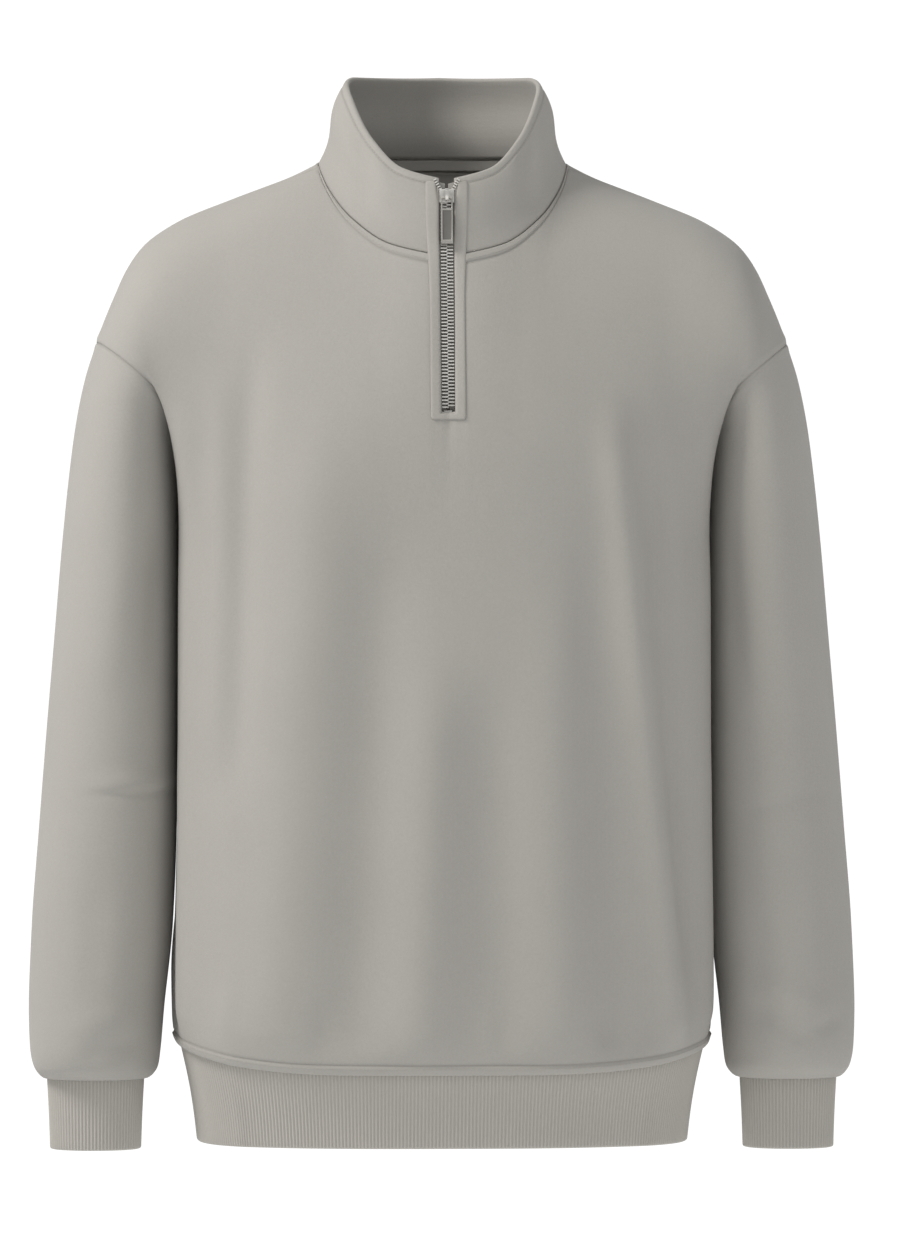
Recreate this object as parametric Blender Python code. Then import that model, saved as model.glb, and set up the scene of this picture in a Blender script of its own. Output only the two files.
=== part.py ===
"""A half zip sweatshirt, filled out as it is worn, with nobody in it.

Metres, +Z up, the front faces -Y and +X is the viewer's right. The origin is the middle of the neck
opening at the height of the two high shoulder points. Every cut piece is a closed wall. Its outer face
is a grid of points, one row after another from the bottom up and each row counterclockwise as seen from
above, so that the cloth's outside is on the grid's right-hand side.
"""

import math

import bmesh
import bpy
import numpy as np
from mathutils import Matrix, Vector

# Cloth and seams
CLOTH = 0.0018
RIB_BAND = 0.0030
TAPE = 0.0010
SEAM_GAP = 0.0003
SEAM_LAP = 0.0060
SMOOTH_JOIN = 0.85
SHARPEST_CORNER = 0.5

# Body, from the hem to the underarm
BODY_ROUNDNESS = 2.9
HALF_GIRTH = 0.290
UNDERARM = np.array([0.1840, 0.0, -0.2000])
YOKE_DROP = 0.060
YOKE_DROP_START = 0.60
HEM_FRONT_Z = -0.6555
HEM_BACK_Z = -0.6520
HEM_SIDE_Z = -0.6370
HEM_BAND_BOTTOM_Z = -0.7085
HEM_BAND_TAPER = 0.0125
HEM_RIBS = 400
HEM_BAND_INNER_POINTS = 80

# Shoulder, armhole and sleeve
ARMHOLE_DEPTH = 0.0825
ARMHOLE_LIFT = 0.030
LIFT_OUTWARD = 0.27
CUFF_BOTTOM_Z = -0.7140
CUFF_TAPER = 0.0022
CUFF_RIBS = 80
CUFF_INNER_POINTS = 20
RIB_HEIGHT = 0.0006

# Neck and collar
NECK_HALF_WIDTH = 0.0905
NECK_CENTRE_Y = -0.0180
NECK_HALF_DEPTH = 0.0870
COLLAR_TOP_HALF_WIDTH = 0.0715
COLLAR_TOP_CENTRE_Y = -0.0230
COLLAR_TOP_HALF_DEPTH = 0.0750
COLLAR_FLARE = 0.12
SHOULDER_TIP_Y = -0.0040

# Zip
SLOT_HALF_WIDTH = 0.0055
SLOT_BOTTOM_Z = -0.1841
PLACKET_HALF_WIDTH = 0.0135
PLACKET = 0.0010
TAPE_INNER_X = 0.0012
TAPE_OUTER_X = 0.0152
CHAIN_HALF_WIDTH = 0.0029
SLIDER_Z = -0.0275
CHAIN_PROUD = 0.0002

# Where the zip's pieces end, in grid rows below the slot's bottom and short of the collar's top
TAPE_BELOW_SLOT = 0.28
TAPE_BELOW_TOP = 0.10
PLACKET_BELOW_SLOT = 0.20
PLACKET_BELOW_TOP = 0.05
STOP_ABOVE_SLOT = 0.09
CHAIN_ABOVE_SLOT = 0.17

# Blocks of the slider, the pull tab and the stop, each as its low and high corner in its own frame on the zip
BOTTOM_STOP = ((-0.0028, -0.0008, -0.0013), (0.0028, 0.0008, 0.0003))
SLIDER_FACE = ((-0.0044, -0.0048, 0.0001), (0.0044, 0.0048, 0.0015))
SLIDER_BLOCKS = (
    ("wedge", (-0.0006, 0.0008, -0.0040), (0.0006, 0.0042, 0.0010)),
    ("back_plate", (-0.0042, -0.0046, -0.0048), (0.0042, 0.0046, -0.0034)),
    ("bridge_top", (-0.0011, 0.0034, 0.0012), (0.0011, 0.0046, 0.0050)),
    ("bridge_foot", (-0.0011, -0.0040, 0.0012), (0.0011, -0.0030, 0.0050)),
    ("bridge_bar", (-0.0010, -0.0038, 0.0042), (0.0010, 0.0044, 0.0049)),
)
PULL_TAB_PIVOT = (0.0, -0.0016, 0.0029)
PULL_TAB = ((-0.0043, -0.0336, -0.0007), (0.0043, 0.0007, 0.0007))
TAB_WINDOW = ((-0.0027, -0.0130, -0.0020), (0.0027, -0.0007, 0.0020))
TAB_RECESS = ((-0.0031, -0.0303, 0.0002), (0.0031, -0.0146, 0.0020))

# Numbers of grid cells
NECK_CELLS = 8
SHOULDER_CELLS = 11
HALF_CELLS = NECK_CELLS + SHOULDER_CELLS
YOKE_CELLS_BELOW_SLOT = 3
YOKE_CELLS_ABOVE_SLOT = 7

# Sections of the body. rise is the share of the way from the hem's seam to the yoke.
BODY_COLUMNS = ("rise", "half_width", "front", "back", "side_dip")
BODY_SECTIONS = (
    (0.000, 0.1930, 0.1255, 0.1155, 0.0000),
    (0.014, 0.1948, 0.1284, 0.1184, 0.0000),
    (0.045, 0.1962, 0.1306, 0.1206, 0.0000),
    (0.120, 0.1968, 0.1320, 0.1215, 0.0000),
    (0.260, 0.1965, 0.1332, 0.1225, 0.0040),
    (0.420, 0.1955, 0.1345, 0.1230, 0.0055),
    (0.580, 0.1945, 0.1350, 0.1230, 0.0055),
    (0.740, 0.1945, 0.1348, 0.1215, 0.0060),
    (0.880, 0.1945, 0.1338, 0.1190, 0.0080),
    (1.000, 0.1945, 0.1325, 0.1165, 0.0105),
)
SIDE_DIP_REACH = 0.028

# How the yoke leaves the body and reaches the neck or the shoulder seam, by share of the half's width.
YOKE_COLUMNS = ("share", "rise_pull", "crown_pull", "crown_back", "crown_up")
FRONT_YOKE = (
    (0.00, 0.070, 0.050, 0.20, 0.98),
    (0.21, 0.075, 0.050, 0.50, 0.87),
    (0.34, 0.085, 0.060, 0.86, 0.51),
    (0.42, 0.095, 0.071, 0.98, 0.18),
    (0.60, 0.100, 0.090, 0.99, 0.12),
    (0.80, 0.090, 0.112, 1.00, 0.08),
    (0.92, 0.085, 0.116, 1.00, 0.03),
    (1.00, 0.080, 0.110, 1.00, 0.00),
)
BACK_YOKE = (
    (0.00, 0.090, 0.060, 0.35, 0.94),
    (0.21, 0.095, 0.060, 0.60, 0.80),
    (0.34, 0.100, 0.067, 0.92, 0.30),
    (0.42, 0.105, 0.075, 0.99, -0.12),
    (0.60, 0.105, 0.090, 0.99, -0.12),
    (0.80, 0.095, 0.112, 1.00, -0.08),
    (0.92, 0.085, 0.116, 1.00, -0.03),
    (1.00, 0.080, 0.110, 1.00, 0.00),
)

# The shoulder seam, from the neck down over the dropped shoulder to the armhole.
SHOULDER_COLUMNS = ("x", "z")
SHOULDER_SEAM = (
    (0.0905, 0.0000),
    (0.1062, -0.0076),
    (0.1515, -0.0248),
    (0.1923, -0.0416),
    (0.2172, -0.0591),
    (0.2296, -0.0767),
    (0.2376, -0.0942),
    (0.2449, -0.1117),
    (0.2515, -0.1290),
)

# The collar's seam and its top edge, by the angle round the neck from the middle of the front.
NECK_COLUMNS = ("angle", "seam_z", "top_z")
NECK_HEIGHTS = (
    (0.0, -0.0712, -0.0172),
    (27.0, -0.0610, -0.0077),
    (48.0, -0.0420, 0.0135),
    (75.0, -0.0120, 0.0472),
    (90.0, 0.0000, 0.0578),
    (115.0, 0.0050, 0.0650),
    (180.0, 0.0070, 0.0680),
)
COLLAR_RISES = (0.0, 0.10, 0.32, 0.58, 0.82, 1.0)
COLLAR_INNER_START = 0.5

# Rings of the right sleeve from the cuff up. A ring runs from its inner point, beside the body, to its
# outer one, and lift raises its middle above the straight line between them. The columns are x_in, z_in,
# x_out, z_out, half_depth, lift and centre_y.
SLEEVE_RINGS = (
    (0.2155, -0.6635, 0.2885, -0.6635, 0.0325, 0.000, -0.0180),
    (0.2115, -0.6612, 0.2918, -0.6612, 0.0390, 0.000, -0.0180),
    (0.2066, -0.6540, 0.2968, -0.6540, 0.0480, 0.000, -0.0178),
    (0.2046, -0.6400, 0.2995, -0.6400, 0.0530, 0.000, -0.0175),
    (0.2020, -0.6100, 0.3004, -0.6100, 0.0560, 0.000, -0.0165),
    (0.1958, -0.5500, 0.2982, -0.5500, 0.0585, 0.000, -0.0145),
    (0.1930, -0.4800, 0.2930, -0.4800, 0.0620, 0.000, -0.0120),
    (0.1922, -0.4100, 0.2876, -0.4100, 0.0660, 0.000, -0.0095),
    (0.1915, -0.3450, 0.2818, -0.3400, 0.0710, 0.002, -0.0070),
    (0.1915, -0.2950, 0.2765, -0.2760, 0.0755, 0.005, -0.0045),
    (0.1913, -0.2600, 0.2717, -0.2280, 0.0785, 0.010, -0.0025),
    (0.1906, -0.2330, 0.2668, -0.1900, 0.0810, 0.018, -0.0010),
    (0.1885, -0.2130, 0.2600, -0.1560, 0.0822, 0.025, 0.0000),
    (0.1840, -0.2000, 0.2515, -0.1290, 0.0825, 0.030, 0.0000),
)

# Soft folds. across is the distance along the cloth from the middle of the panel, and both ends fade. The
# columns are across_top, z_top, across_low, z_low, width and height.
FRONT_FOLDS = (
    (-0.124, -0.250, -0.173, -0.600, 0.021, 0.0045),
    (-0.066, -0.270, -0.096, -0.620, 0.020, -0.0050),
    (-0.022, -0.370, -0.044, -0.640, 0.019, 0.0040),
    (0.014, -0.430, 0.006, -0.630, 0.017, -0.0025),
    (0.064, -0.430, 0.064, -0.640, 0.018, 0.0025),
    (0.119, -0.250, 0.180, -0.640, 0.012, 0.0040),
    (0.148, -0.240, 0.200, -0.540, 0.014, -0.0040),
    (-0.236, -0.480, -0.240, -0.650, 0.013, -0.0040),
    (0.236, -0.480, 0.240, -0.650, 0.013, -0.0040),
)
BACK_FOLDS = (
    (-0.150, -0.260, -0.120, -0.600, 0.022, 0.0045),
    (-0.060, -0.330, -0.080, -0.630, 0.021, -0.0045),
    (0.015, -0.400, 0.000, -0.640, 0.020, 0.0035),
    (0.080, -0.300, 0.105, -0.620, 0.020, -0.0045),
    (0.160, -0.260, 0.175, -0.600, 0.018, 0.0040),
)
FOLD_FADE = 0.090
HEM_FADE = 0.030

STONE = (0.40, 0.385, 0.355, 1.0)
STONE_RIB = (0.37, 0.355, 0.325, 1.0)
NICKEL = (0.62, 0.61, 0.58, 1.0)

# Two pieces at a seam split its twisted edge faces the same way, by which end lies further along this.
RIM_ORDER = np.array([0.37, 0.61, 1.00])

part = bpy.data.collections.new("half_zip_sweatshirt")
cutters = bpy.data.collections.new("cutters")


def clear_scene():
    for old in list(bpy.data.objects):
        bpy.data.objects.remove(old)
    for collection in (part, cutters):
        bpy.context.scene.collection.children.link(collection)


def material(name, colour, roughness, metallic):
    made = bpy.data.materials.new(name)
    made.use_nodes = True
    shader = made.node_tree.nodes["Principled BSDF"]
    shader.inputs["Base Color"].default_value = colour
    shader.inputs["Roughness"].default_value = roughness
    shader.inputs["Metallic"].default_value = metallic
    return made


# ---------------------------------------------------------------- curves and grids


def column(names, rows, name):
    return np.array([row[names.index(name)] for row in rows])


def smooth_between(places, knots, values):
    """Values read smoothly between a table's rows, without overshoot."""
    steps = np.diff(knots)
    secants = np.diff(values) / steps
    slopes = np.zeros(len(knots))
    same_way = secants[:-1] * secants[1:] > 0
    pair_sum = np.where(same_way, secants[:-1] + secants[1:], 1.0)
    slopes[1:-1] = np.where(same_way, 2 * secants[:-1] * secants[1:] / pair_sum, 0.0)
    slopes[0] = secants[0]
    slopes[-1] = secants[-1]
    places = np.clip(places, knots[0], knots[-1])
    low = np.clip(np.searchsorted(knots, places, side="right") - 1, 0, len(knots) - 2)
    step = steps[low]
    t = (places - knots[low]) / step
    start = (1 + 2 * t) * (1 - t) ** 2 * values[low] + t * (1 - t) ** 2 * step * slopes[low]
    end = t**2 * (3 - 2 * t) * values[low + 1] - t**2 * (1 - t) * step * slopes[low + 1]
    return start + end


def read(names, rows, name, places):
    """One named column of a table at the given places along its first column."""
    return smooth_between(np.asarray(places, float), column(names, rows, names[0]), column(names, rows, name))


def ease(share):
    share = np.clip(share, 0.0, 1.0)
    return share * share * (3 - 2 * share)


def unit(vectors):
    return vectors / np.linalg.norm(vectors, axis=-1, keepdims=True)


def mirrored(points):
    return points * np.array([-1.0, 1.0, 1.0])


def bezier(ends_and_pulls, shares):
    """Rows of points on cubic curves, one curve for each column, from four rows of control points."""
    start, leave, reach, end = ends_and_pulls
    t = np.asarray(shares)[:, None, None]
    return (1 - t) ** 3 * start + 3 * t * (1 - t) ** 2 * leave + 3 * t**2 * (1 - t) * reach + t**3 * end


def along(line, count):
    """Points at equal steps along a line of points."""
    travelled = np.concatenate([[0.0], np.cumsum(np.linalg.norm(np.diff(line, axis=0), axis=1))])
    places = np.linspace(0.0, travelled[-1], count)
    return np.stack([np.interp(places, travelled, line[:, k]) for k in range(line.shape[1])], axis=1)


def grid_normals(points, ring=False):
    """Outward normals of a grid of points, area weighted."""
    grid = np.concatenate([points, points[:, :1]], axis=1) if ring else points
    face = np.cross(grid[1:, 1:] - grid[:-1, :-1], grid[1:, :-1] - grid[:-1, 1:])
    total = np.zeros(grid.shape)
    total[:-1, :-1] += face
    total[:-1, 1:] += face
    total[1:, 1:] += face
    total[1:, :-1] += face
    if ring:
        total[:, 0] += total[:, -1]
        total = total[:, :-1]
    return unit(total)


class Sheet:
    """One cut piece's outer face: a grid of points with their normals."""

    def __init__(self, points, ring=False):
        self.points = points
        self.ring = ring
        self.normals = grid_normals(points, ring)


def share_seam_normals(sheets):
    """Gives points that two or more pieces share one normal, so that both end on the same mitred plane.

    Pieces that run on smoothly into each other, such as front and back at the shoulder, count as one side.
    """
    sides = {}
    for sheet in sheets:
        keys = np.round(sheet.points, 6).reshape(-1, 3)
        for key, normal in zip(map(tuple, keys), sheet.normals.reshape(-1, 3)):
            known = sides.setdefault(key, [])
            alike = [k for k, side in enumerate(known) if np.dot(unit(side), normal) > SMOOTH_JOIN]
            if alike:
                known[alike[0]] = known[alike[0]] + normal
            else:
                known.append(normal)
    for sheet in sheets:
        keys = np.round(sheet.points, 6).reshape(-1, 3)
        shared = np.array([sum(unit(side) for side in sides[tuple(key)]) for key in keys])
        sheet.normals = unit(shared).reshape(sheet.normals.shape)


def set_back(sheet, sides):
    """The piece's points with the named edges drawn in by half a seam gap, square to the seam's plane."""
    points = sheet.points
    moved = points.copy()
    edges = {
        "top": ((-1, slice(None)), (-2, slice(None))),
        "bottom": ((0, slice(None)), (1, slice(None))),
        "first": ((slice(None), 0), (slice(None), 1)),
        "last": ((slice(None), -1), (slice(None), -2)),
    }
    for side in sides:
        edge, inside = edges[side]
        line = points[edge]
        if sheet.ring:
            steps = unit(np.roll(line, -1, axis=0) - line)
            before, after = np.roll(steps, 1, axis=0), steps
        else:
            steps = unit(np.diff(line, axis=0))
            before, after = np.concatenate([steps[:1], steps]), np.concatenate([steps, steps[-1:]])
        seam = unit(before + after)
        inward = unit(np.cross(seam, sheet.normals[edge]))
        inward *= np.sign((inward * (points[inside] - line)).sum(axis=1, keepdims=True))
        corner = np.maximum((seam * after).sum(axis=1, keepdims=True), SHARPEST_CORNER)
        moved[edge] += inward * SEAM_GAP / 2 / corner
    return moved


# ---------------------------------------------------------------- meshes


def add_mesh(name, verts, faces, made_of):
    mesh = bpy.data.meshes.new(name)
    mesh.from_pydata([tuple(v) for v in verts], [], faces)
    shape = bmesh.new()
    shape.from_mesh(mesh)
    unused = [vert for vert in shape.verts if not vert.link_faces]
    bmesh.ops.delete(shape, geom=unused, context="VERTS")
    shape.to_mesh(mesh)
    shape.free()
    mesh.shade_smooth()
    mesh.set_sharp_from_angle(angle=math.radians(50))
    mesh.materials.append(made_of)
    made = bpy.data.objects.new(name, mesh)
    part.objects.link(made)
    return made


def add_wall(name, outer, inner, made_of, ring=False, left_out=()):
    """A closed wall between two grids. left_out holds the (row, column) cells that are cut away."""
    rows, cols = outer.shape[:2]
    faces = []
    for i in range(rows - 1):
        for j in range(cols if ring else cols - 1):
            if (i, j) not in left_out:
                right = (j + 1) % cols
                faces.append((i * cols + j, i * cols + right, (i + 1) * cols + right, (i + 1) * cols + j))
    edges = {(face[k], face[(k + 1) % 4]) for face in faces for k in range(4)}
    depth = rows * cols
    lining = [(a + depth, d + depth, c + depth, b + depth) for a, b, c, d in faces]
    verts = np.concatenate([outer.reshape(-1, 3), inner.reshape(-1, 3)])
    rims = []
    for p, q in sorted(edges):
        if (q, p) in edges:
            continue
        if verts[p] @ RIM_ORDER > verts[q] @ RIM_ORDER:
            rims += [(q, p, q + depth), (p, p + depth, q + depth)]
        else:
            rims += [(q, p, p + depth), (q, p + depth, q + depth)]
    return add_mesh(name, verts, faces + lining + rims, made_of)


def zip_rings(outer_start, outer_count, inner_start, inner_count, upward):
    """Faces between a fine ring of vertices and a coarse one inside it, whose count divides its count."""
    step = outer_count // inner_count
    faces = []
    for i in range(inner_count):
        here = inner_start + i
        following = inner_start + (i + 1) % inner_count
        fine = [outer_start + (i * step + k) % outer_count for k in range(step + 1)]
        middle = step // 2
        for k in range(step):
            faces.append((fine[k], fine[k + 1], here if k < middle else following))
        faces.append((here, fine[middle], following))
    return faces if upward else [face[::-1] for face in faces]


def add_ribbed_band(name, seam, outward, ribs, inner_points, bottom_z, taper, made_of):
    """A folded rib band below a seam. seam is the ring of points that its crests start from."""
    closed_seam = np.concatenate([seam, seam[:1]])
    closed_outward = np.concatenate([outward, outward[:1]])
    fine = along(np.concatenate([closed_seam, closed_outward], axis=1), 2 * ribs + 1)[:-1]
    ring = fine[:, :3]
    out = unit(fine[:, 3:] * np.array([1.0, 1.0, 0.0]))
    trough = np.where(np.arange(2 * ribs) % 2, RIB_HEIGHT, 0.0)[:, None]
    slope = taper / (ring[:, 2] - bottom_z).mean()
    top = ring + np.array([0.0, 0.0, SEAM_LAP]) - out * trough
    bottom = ring - out * (trough + slope * (ring[:, 2:] - bottom_z))
    bottom[:, 2] = bottom_z
    coarse = slice(None, None, 2 * ribs // inner_points)
    inner_top = (top - out * RIB_BAND)[coarse]
    inner_bottom = (bottom - out * RIB_BAND)[coarse]
    count = 2 * ribs
    inner = 2 * count
    faces = []
    for j in range(count):
        right = (j + 1) % count
        faces.append((j, right, count + right, count + j))
    for j in range(inner_points):
        right = (j + 1) % inner_points
        low = inner + j
        low_right = inner + right
        faces.append((low_right, low, low + inner_points, low_right + inner_points))
    faces += zip_rings(count, count, inner + inner_points, inner_points, upward=True)
    faces += zip_rings(0, count, inner, inner_points, upward=False)
    verts = np.concatenate([bottom, top, inner_bottom, inner_top])
    return add_mesh(name, verts, faces, made_of)


def box(name, low, high, place, collection=part):
    """A box between two corners in a frame of its own, such as the slider's."""
    shape = bmesh.new()
    bmesh.ops.create_cube(shape, size=1.0)
    low = Vector(low)
    high = Vector(high)
    bmesh.ops.scale(shape, vec=high - low, verts=shape.verts)
    bmesh.ops.translate(shape, vec=(low + high) / 2, verts=shape.verts)
    mesh = bpy.data.meshes.new(name)
    shape.to_mesh(mesh)
    shape.free()
    made = bpy.data.objects.new(name, mesh)
    made.matrix_world = place
    collection.objects.link(made)
    return made


def combine(body, other, operation):
    """Joins or cuts body with a hidden helper."""
    other.hide_render = True
    other.display_type = "WIRE"
    change = body.modifiers.new(operation.lower() + "_" + other.name, "BOOLEAN")
    change.operation = operation
    change.solver = "EXACT"
    change.object = other


# ---------------------------------------------------------------- body panels


def ring_angles(share):
    """Angles from the middle of the front, or back, to the side seam, at shares of that quarter's length."""
    angles = np.linspace(0.0, math.pi / 2, 2001)
    middle = BODY_SECTIONS[6]
    x = middle[1] * np.sin(angles) ** (2 / BODY_ROUNDNESS)
    y = middle[2] * np.cos(angles) ** (2 / BODY_ROUNDNESS)
    travelled = np.concatenate([[0.0], np.cumsum(np.hypot(np.diff(x), np.diff(y)))])
    return np.interp(share * travelled[-1], travelled, angles)


def angle_at_x(x):
    return np.arcsin((x / BODY_SECTIONS[-1][1]) ** (BODY_ROUNDNESS / 2))


def front_shares():
    """Shares of the half front's width at its columns: the slot's edge, the placket's edge, then even."""
    edge_share = PLACKET_HALF_WIDTH / HALF_GIRTH
    even = np.linspace(edge_share, 1.0, HALF_CELLS - 1)
    return np.concatenate([[0.0, SLOT_HALF_WIDTH / HALF_GIRTH], even])


def front_angles():
    angles = ring_angles(front_shares())
    angles[1] = angle_at_x(SLOT_HALF_WIDTH)
    angles[2] = angle_at_x(PLACKET_HALF_WIDTH)
    return angles


def hem_z(shares, middle_z):
    return middle_z + (HEM_SIDE_Z - middle_z) * ease((shares - 0.35) / 0.6)


def yoke_base_z(shares):
    """The yoke starts level across the panel and climbs to the underarm point at the side."""
    climb = np.clip((shares - YOKE_DROP_START) / (1 - YOKE_DROP_START), 0.0, 1.0)
    return UNDERARM[2] - YOKE_DROP * (1 - climb**2)


def body_half(shares, angles, facing, depth_name, middle_z):
    """Right half of a body panel from the hem to the yoke. facing is -1 for the front and 1 for the back."""
    rise = column(BODY_COLUMNS, BODY_SECTIONS, "rise")[:, None]
    half_width = column(BODY_COLUMNS, BODY_SECTIONS, "half_width")[:, None]
    depth = column(BODY_COLUMNS, BODY_SECTIONS, depth_name)[:, None]
    side_dip = column(BODY_COLUMNS, BODY_SECTIONS, "side_dip")[:, None]
    power = 2 / BODY_ROUNDNESS
    y = facing * depth * np.clip(np.cos(angles), 0.0, 1.0) ** power
    y[:, -1] = 0.0
    x = half_width * np.sin(angles) ** power - side_dip * np.exp(-((y / SIDE_DIP_REACH) ** 2))
    low = hem_z(shares, middle_z)
    z = low + rise * (yoke_base_z(shares) - low)
    return np.stack([x, y, z], axis=2)


def neck_angles(half_width):
    """Angles of the collar's columns, from the middle of the front to the high shoulder point."""
    placket = math.asin(PLACKET_HALF_WIDTH / half_width)
    slot = math.asin(SLOT_HALF_WIDTH / half_width)
    even = np.linspace(placket, math.pi / 2, NECK_CELLS - 1)
    front = np.concatenate([[0.0, slot], even])
    back = np.linspace(math.pi, math.pi / 2, NECK_CELLS + 1)
    return front, back


def neck_seam(angles):
    x = NECK_HALF_WIDTH * np.sin(angles)
    y = NECK_CENTRE_Y - NECK_HALF_DEPTH * np.cos(angles)
    z = read(NECK_COLUMNS, NECK_HEIGHTS, "seam_z", np.degrees(angles))
    return np.stack([x, y, z], axis=1)


def collar_top(angles):
    x = COLLAR_TOP_HALF_WIDTH * np.sin(angles)
    y = COLLAR_TOP_CENTRE_Y - COLLAR_TOP_HALF_DEPTH * np.cos(angles)
    z = read(NECK_COLUMNS, NECK_HEIGHTS, "top_z", np.degrees(angles))
    return np.stack([x, y, z], axis=1)


def shoulder_points():
    """The shoulder seam at its columns, from the high shoulder point to the armhole."""
    x = column(SHOULDER_COLUMNS, SHOULDER_SEAM, "x")
    z = column(SHOULDER_COLUMNS, SHOULDER_SEAM, "z")
    rows = np.linspace(0.0, len(x) - 1.0, 161)
    knots = np.arange(len(x), dtype=float)
    line = np.stack([smooth_between(rows, knots, x), smooth_between(rows, knots, z)], axis=1)
    line = along(line, SHOULDER_CELLS + 1)
    y = np.linspace(NECK_CENTRE_Y, SHOULDER_TIP_Y, SHOULDER_CELLS + 1)
    return np.stack([line[:, 0], y, line[:, 1]], axis=1)


def half_ring_controls(inner, outer, half_depth, lift, facing):
    """Control points of half a sleeve ring, from beside the body round the front or the back."""
    reach = facing * half_depth * 4 / 3
    leave = inner + np.array([LIFT_OUTWARD * lift, reach, lift])
    arrive = outer + np.array([0.0, reach, 0.0])
    return inner, leave, arrive, outer


def yoke_half(base, shares, crown, table, facing):
    """Right half of a yoke, as one curve for each column from the body's last row up to the crown."""
    rise_pull = read(YOKE_COLUMNS, table, "rise_pull", shares)[:, None]
    crown_pull = read(YOKE_COLUMNS, table, "crown_pull", shares)[:, None]
    back = read(YOKE_COLUMNS, table, "crown_back", shares)
    up = read(YOKE_COLUMNS, table, "crown_up", shares)
    zeros = np.zeros(len(shares))
    leave = rise_pull * np.array([0.0, 0.0, 1.0])
    armhole = half_ring_controls(UNDERARM, crown[-1], ARMHOLE_DEPTH, ARMHOLE_LIFT, facing)
    toward_armhole = np.clip((shares - YOKE_DROP_START) / (1 - YOKE_DROP_START), 0.0, 1.0)[:, None] ** 1.5
    leave = (1 - toward_armhole) * leave + toward_armhole * (armhole[1] - armhole[0])
    arrive = crown_pull * unit(np.stack([zeros, -facing * back, up], axis=1))
    arrive[-1] = armhole[3] - armhole[2]
    return base, base + leave, crown - arrive, crown


def fold_height(across, z, folds):
    total = np.zeros(across.shape)
    for across_top, z_top, across_low, z_low, width, height in folds:
        share = np.clip((z_top - z) / (z_top - z_low), 0.0, 1.0)
        middle = across_top + (across_low - across_top) * share
        ends = ease((z_top + FOLD_FADE / 2 - z) / FOLD_FADE) * ease((z - z_low + FOLD_FADE / 2) / FOLD_FADE)
        total += height * ends * np.exp(-(((across - middle) / width) ** 2))
    return total


def folded(points, across, folds):
    """Moves the grid out and in along its normals, and leaves its seams where they are."""
    height = fold_height(np.broadcast_to(across, points.shape[:2]), points[:, :, 2], folds)
    side = ease((HALF_GIRTH - np.abs(across)) / 0.02)
    hem = ease((points[:, :, 2] - points[:1, :, 2]) / HEM_FADE)
    return points + grid_normals(points) * (height * side * hem)[:, :, None]


def yoke_steps(front_controls):
    """Shares up the yoke at its rows. One row runs along the zip slot's bottom."""
    fine = np.linspace(0.0, 1.0, 400)
    middle_z = bezier(front_controls, fine)[:, 0, 2]
    slot = np.interp(SLOT_BOTTOM_Z, middle_z, fine)
    below = np.linspace(0.0, slot, YOKE_CELLS_BELOW_SLOT + 1)
    above = np.linspace(slot, 1.0, YOKE_CELLS_ABOVE_SLOT + 1)
    return np.concatenate([below, above[1:]])


def front_and_back():
    """Both body panels and the steps up their armholes, which the sleeves share."""
    front_neck, back_neck = neck_angles(NECK_HALF_WIDTH)
    shoulder = shoulder_points()
    shares = front_shares()
    body = body_half(shares, front_angles(), -1, "front", HEM_FRONT_Z)
    crown = np.concatenate([neck_seam(front_neck), shoulder[1:]])
    crown_shares = np.linspace(0.0, 1.0, HALF_CELLS + 1)
    controls = yoke_half(body[-1], crown_shares, crown, FRONT_YOKE, -1)
    steps = yoke_steps(controls)
    half = np.concatenate([body, bezier(controls, steps)[1:]])
    front = np.concatenate([mirrored(half)[:, :0:-1], half], axis=1)
    across = np.concatenate([-shares[:0:-1], shares]) * HALF_GIRTH
    front = Sheet(folded(front, across, FRONT_FOLDS))

    shares = np.linspace(0.0, 1.0, HALF_CELLS + 1)
    body = body_half(shares, ring_angles(shares), 1, "back", HEM_BACK_Z)
    crown = np.concatenate([neck_seam(back_neck), shoulder[1:]])
    controls = yoke_half(body[-1], crown_shares, crown, BACK_YOKE, 1)
    half = np.concatenate([body, bezier(controls, steps)[1:]])
    back = np.concatenate([half[:, ::-1], mirrored(half)[:, 1:]], axis=1)
    across = np.concatenate([shares[::-1], -shares[1:]]) * HALF_GIRTH
    back = Sheet(folded(back, across, BACK_FOLDS))
    return front, back, steps


# ---------------------------------------------------------------- sleeves and collar


def sleeve_points(steps):
    """The right sleeve's rings from the cuff up to the armhole."""
    rings = []
    for x_in, z_in, x_out, z_out, half_depth, lift, centre_y in SLEEVE_RINGS:
        inner = np.array([x_in, centre_y, z_in])
        outer = np.array([x_out, centre_y, z_out])
        if z_in == UNDERARM[2]:
            outer[1] = SHOULDER_TIP_Y
        halves = []
        for facing in (-1, 1):
            controls = half_ring_controls(inner, outer, half_depth, lift, facing)
            halves.append(bezier([point[None] for point in controls], steps)[:, 0])
        rings.append(np.concatenate([halves[0], halves[1][-2:0:-1]]))
    return np.array(rings)


def collar_sheet():
    """The collar's outer face, a ring of columns that starts at the middle of the front."""
    front_seam, back_seam = neck_angles(NECK_HALF_WIDTH)
    front_top, back_top = neck_angles(COLLAR_TOP_HALF_WIDTH)
    seam = neck_seam(np.concatenate([front_seam, back_seam[-2::-1]]))
    top = collar_top(np.concatenate([front_top, back_top[-2::-1]]))
    rows = []
    for rise in COLLAR_RISES:
        inward = rise + COLLAR_FLARE * math.sin(2 * math.pi * rise)
        row = seam + (top - seam) * np.array([inward, inward, rise])
        rows.append(np.concatenate([row, mirrored(row)[-2:0:-1]]))
    return Sheet(np.array(rows), ring=True)


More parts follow.
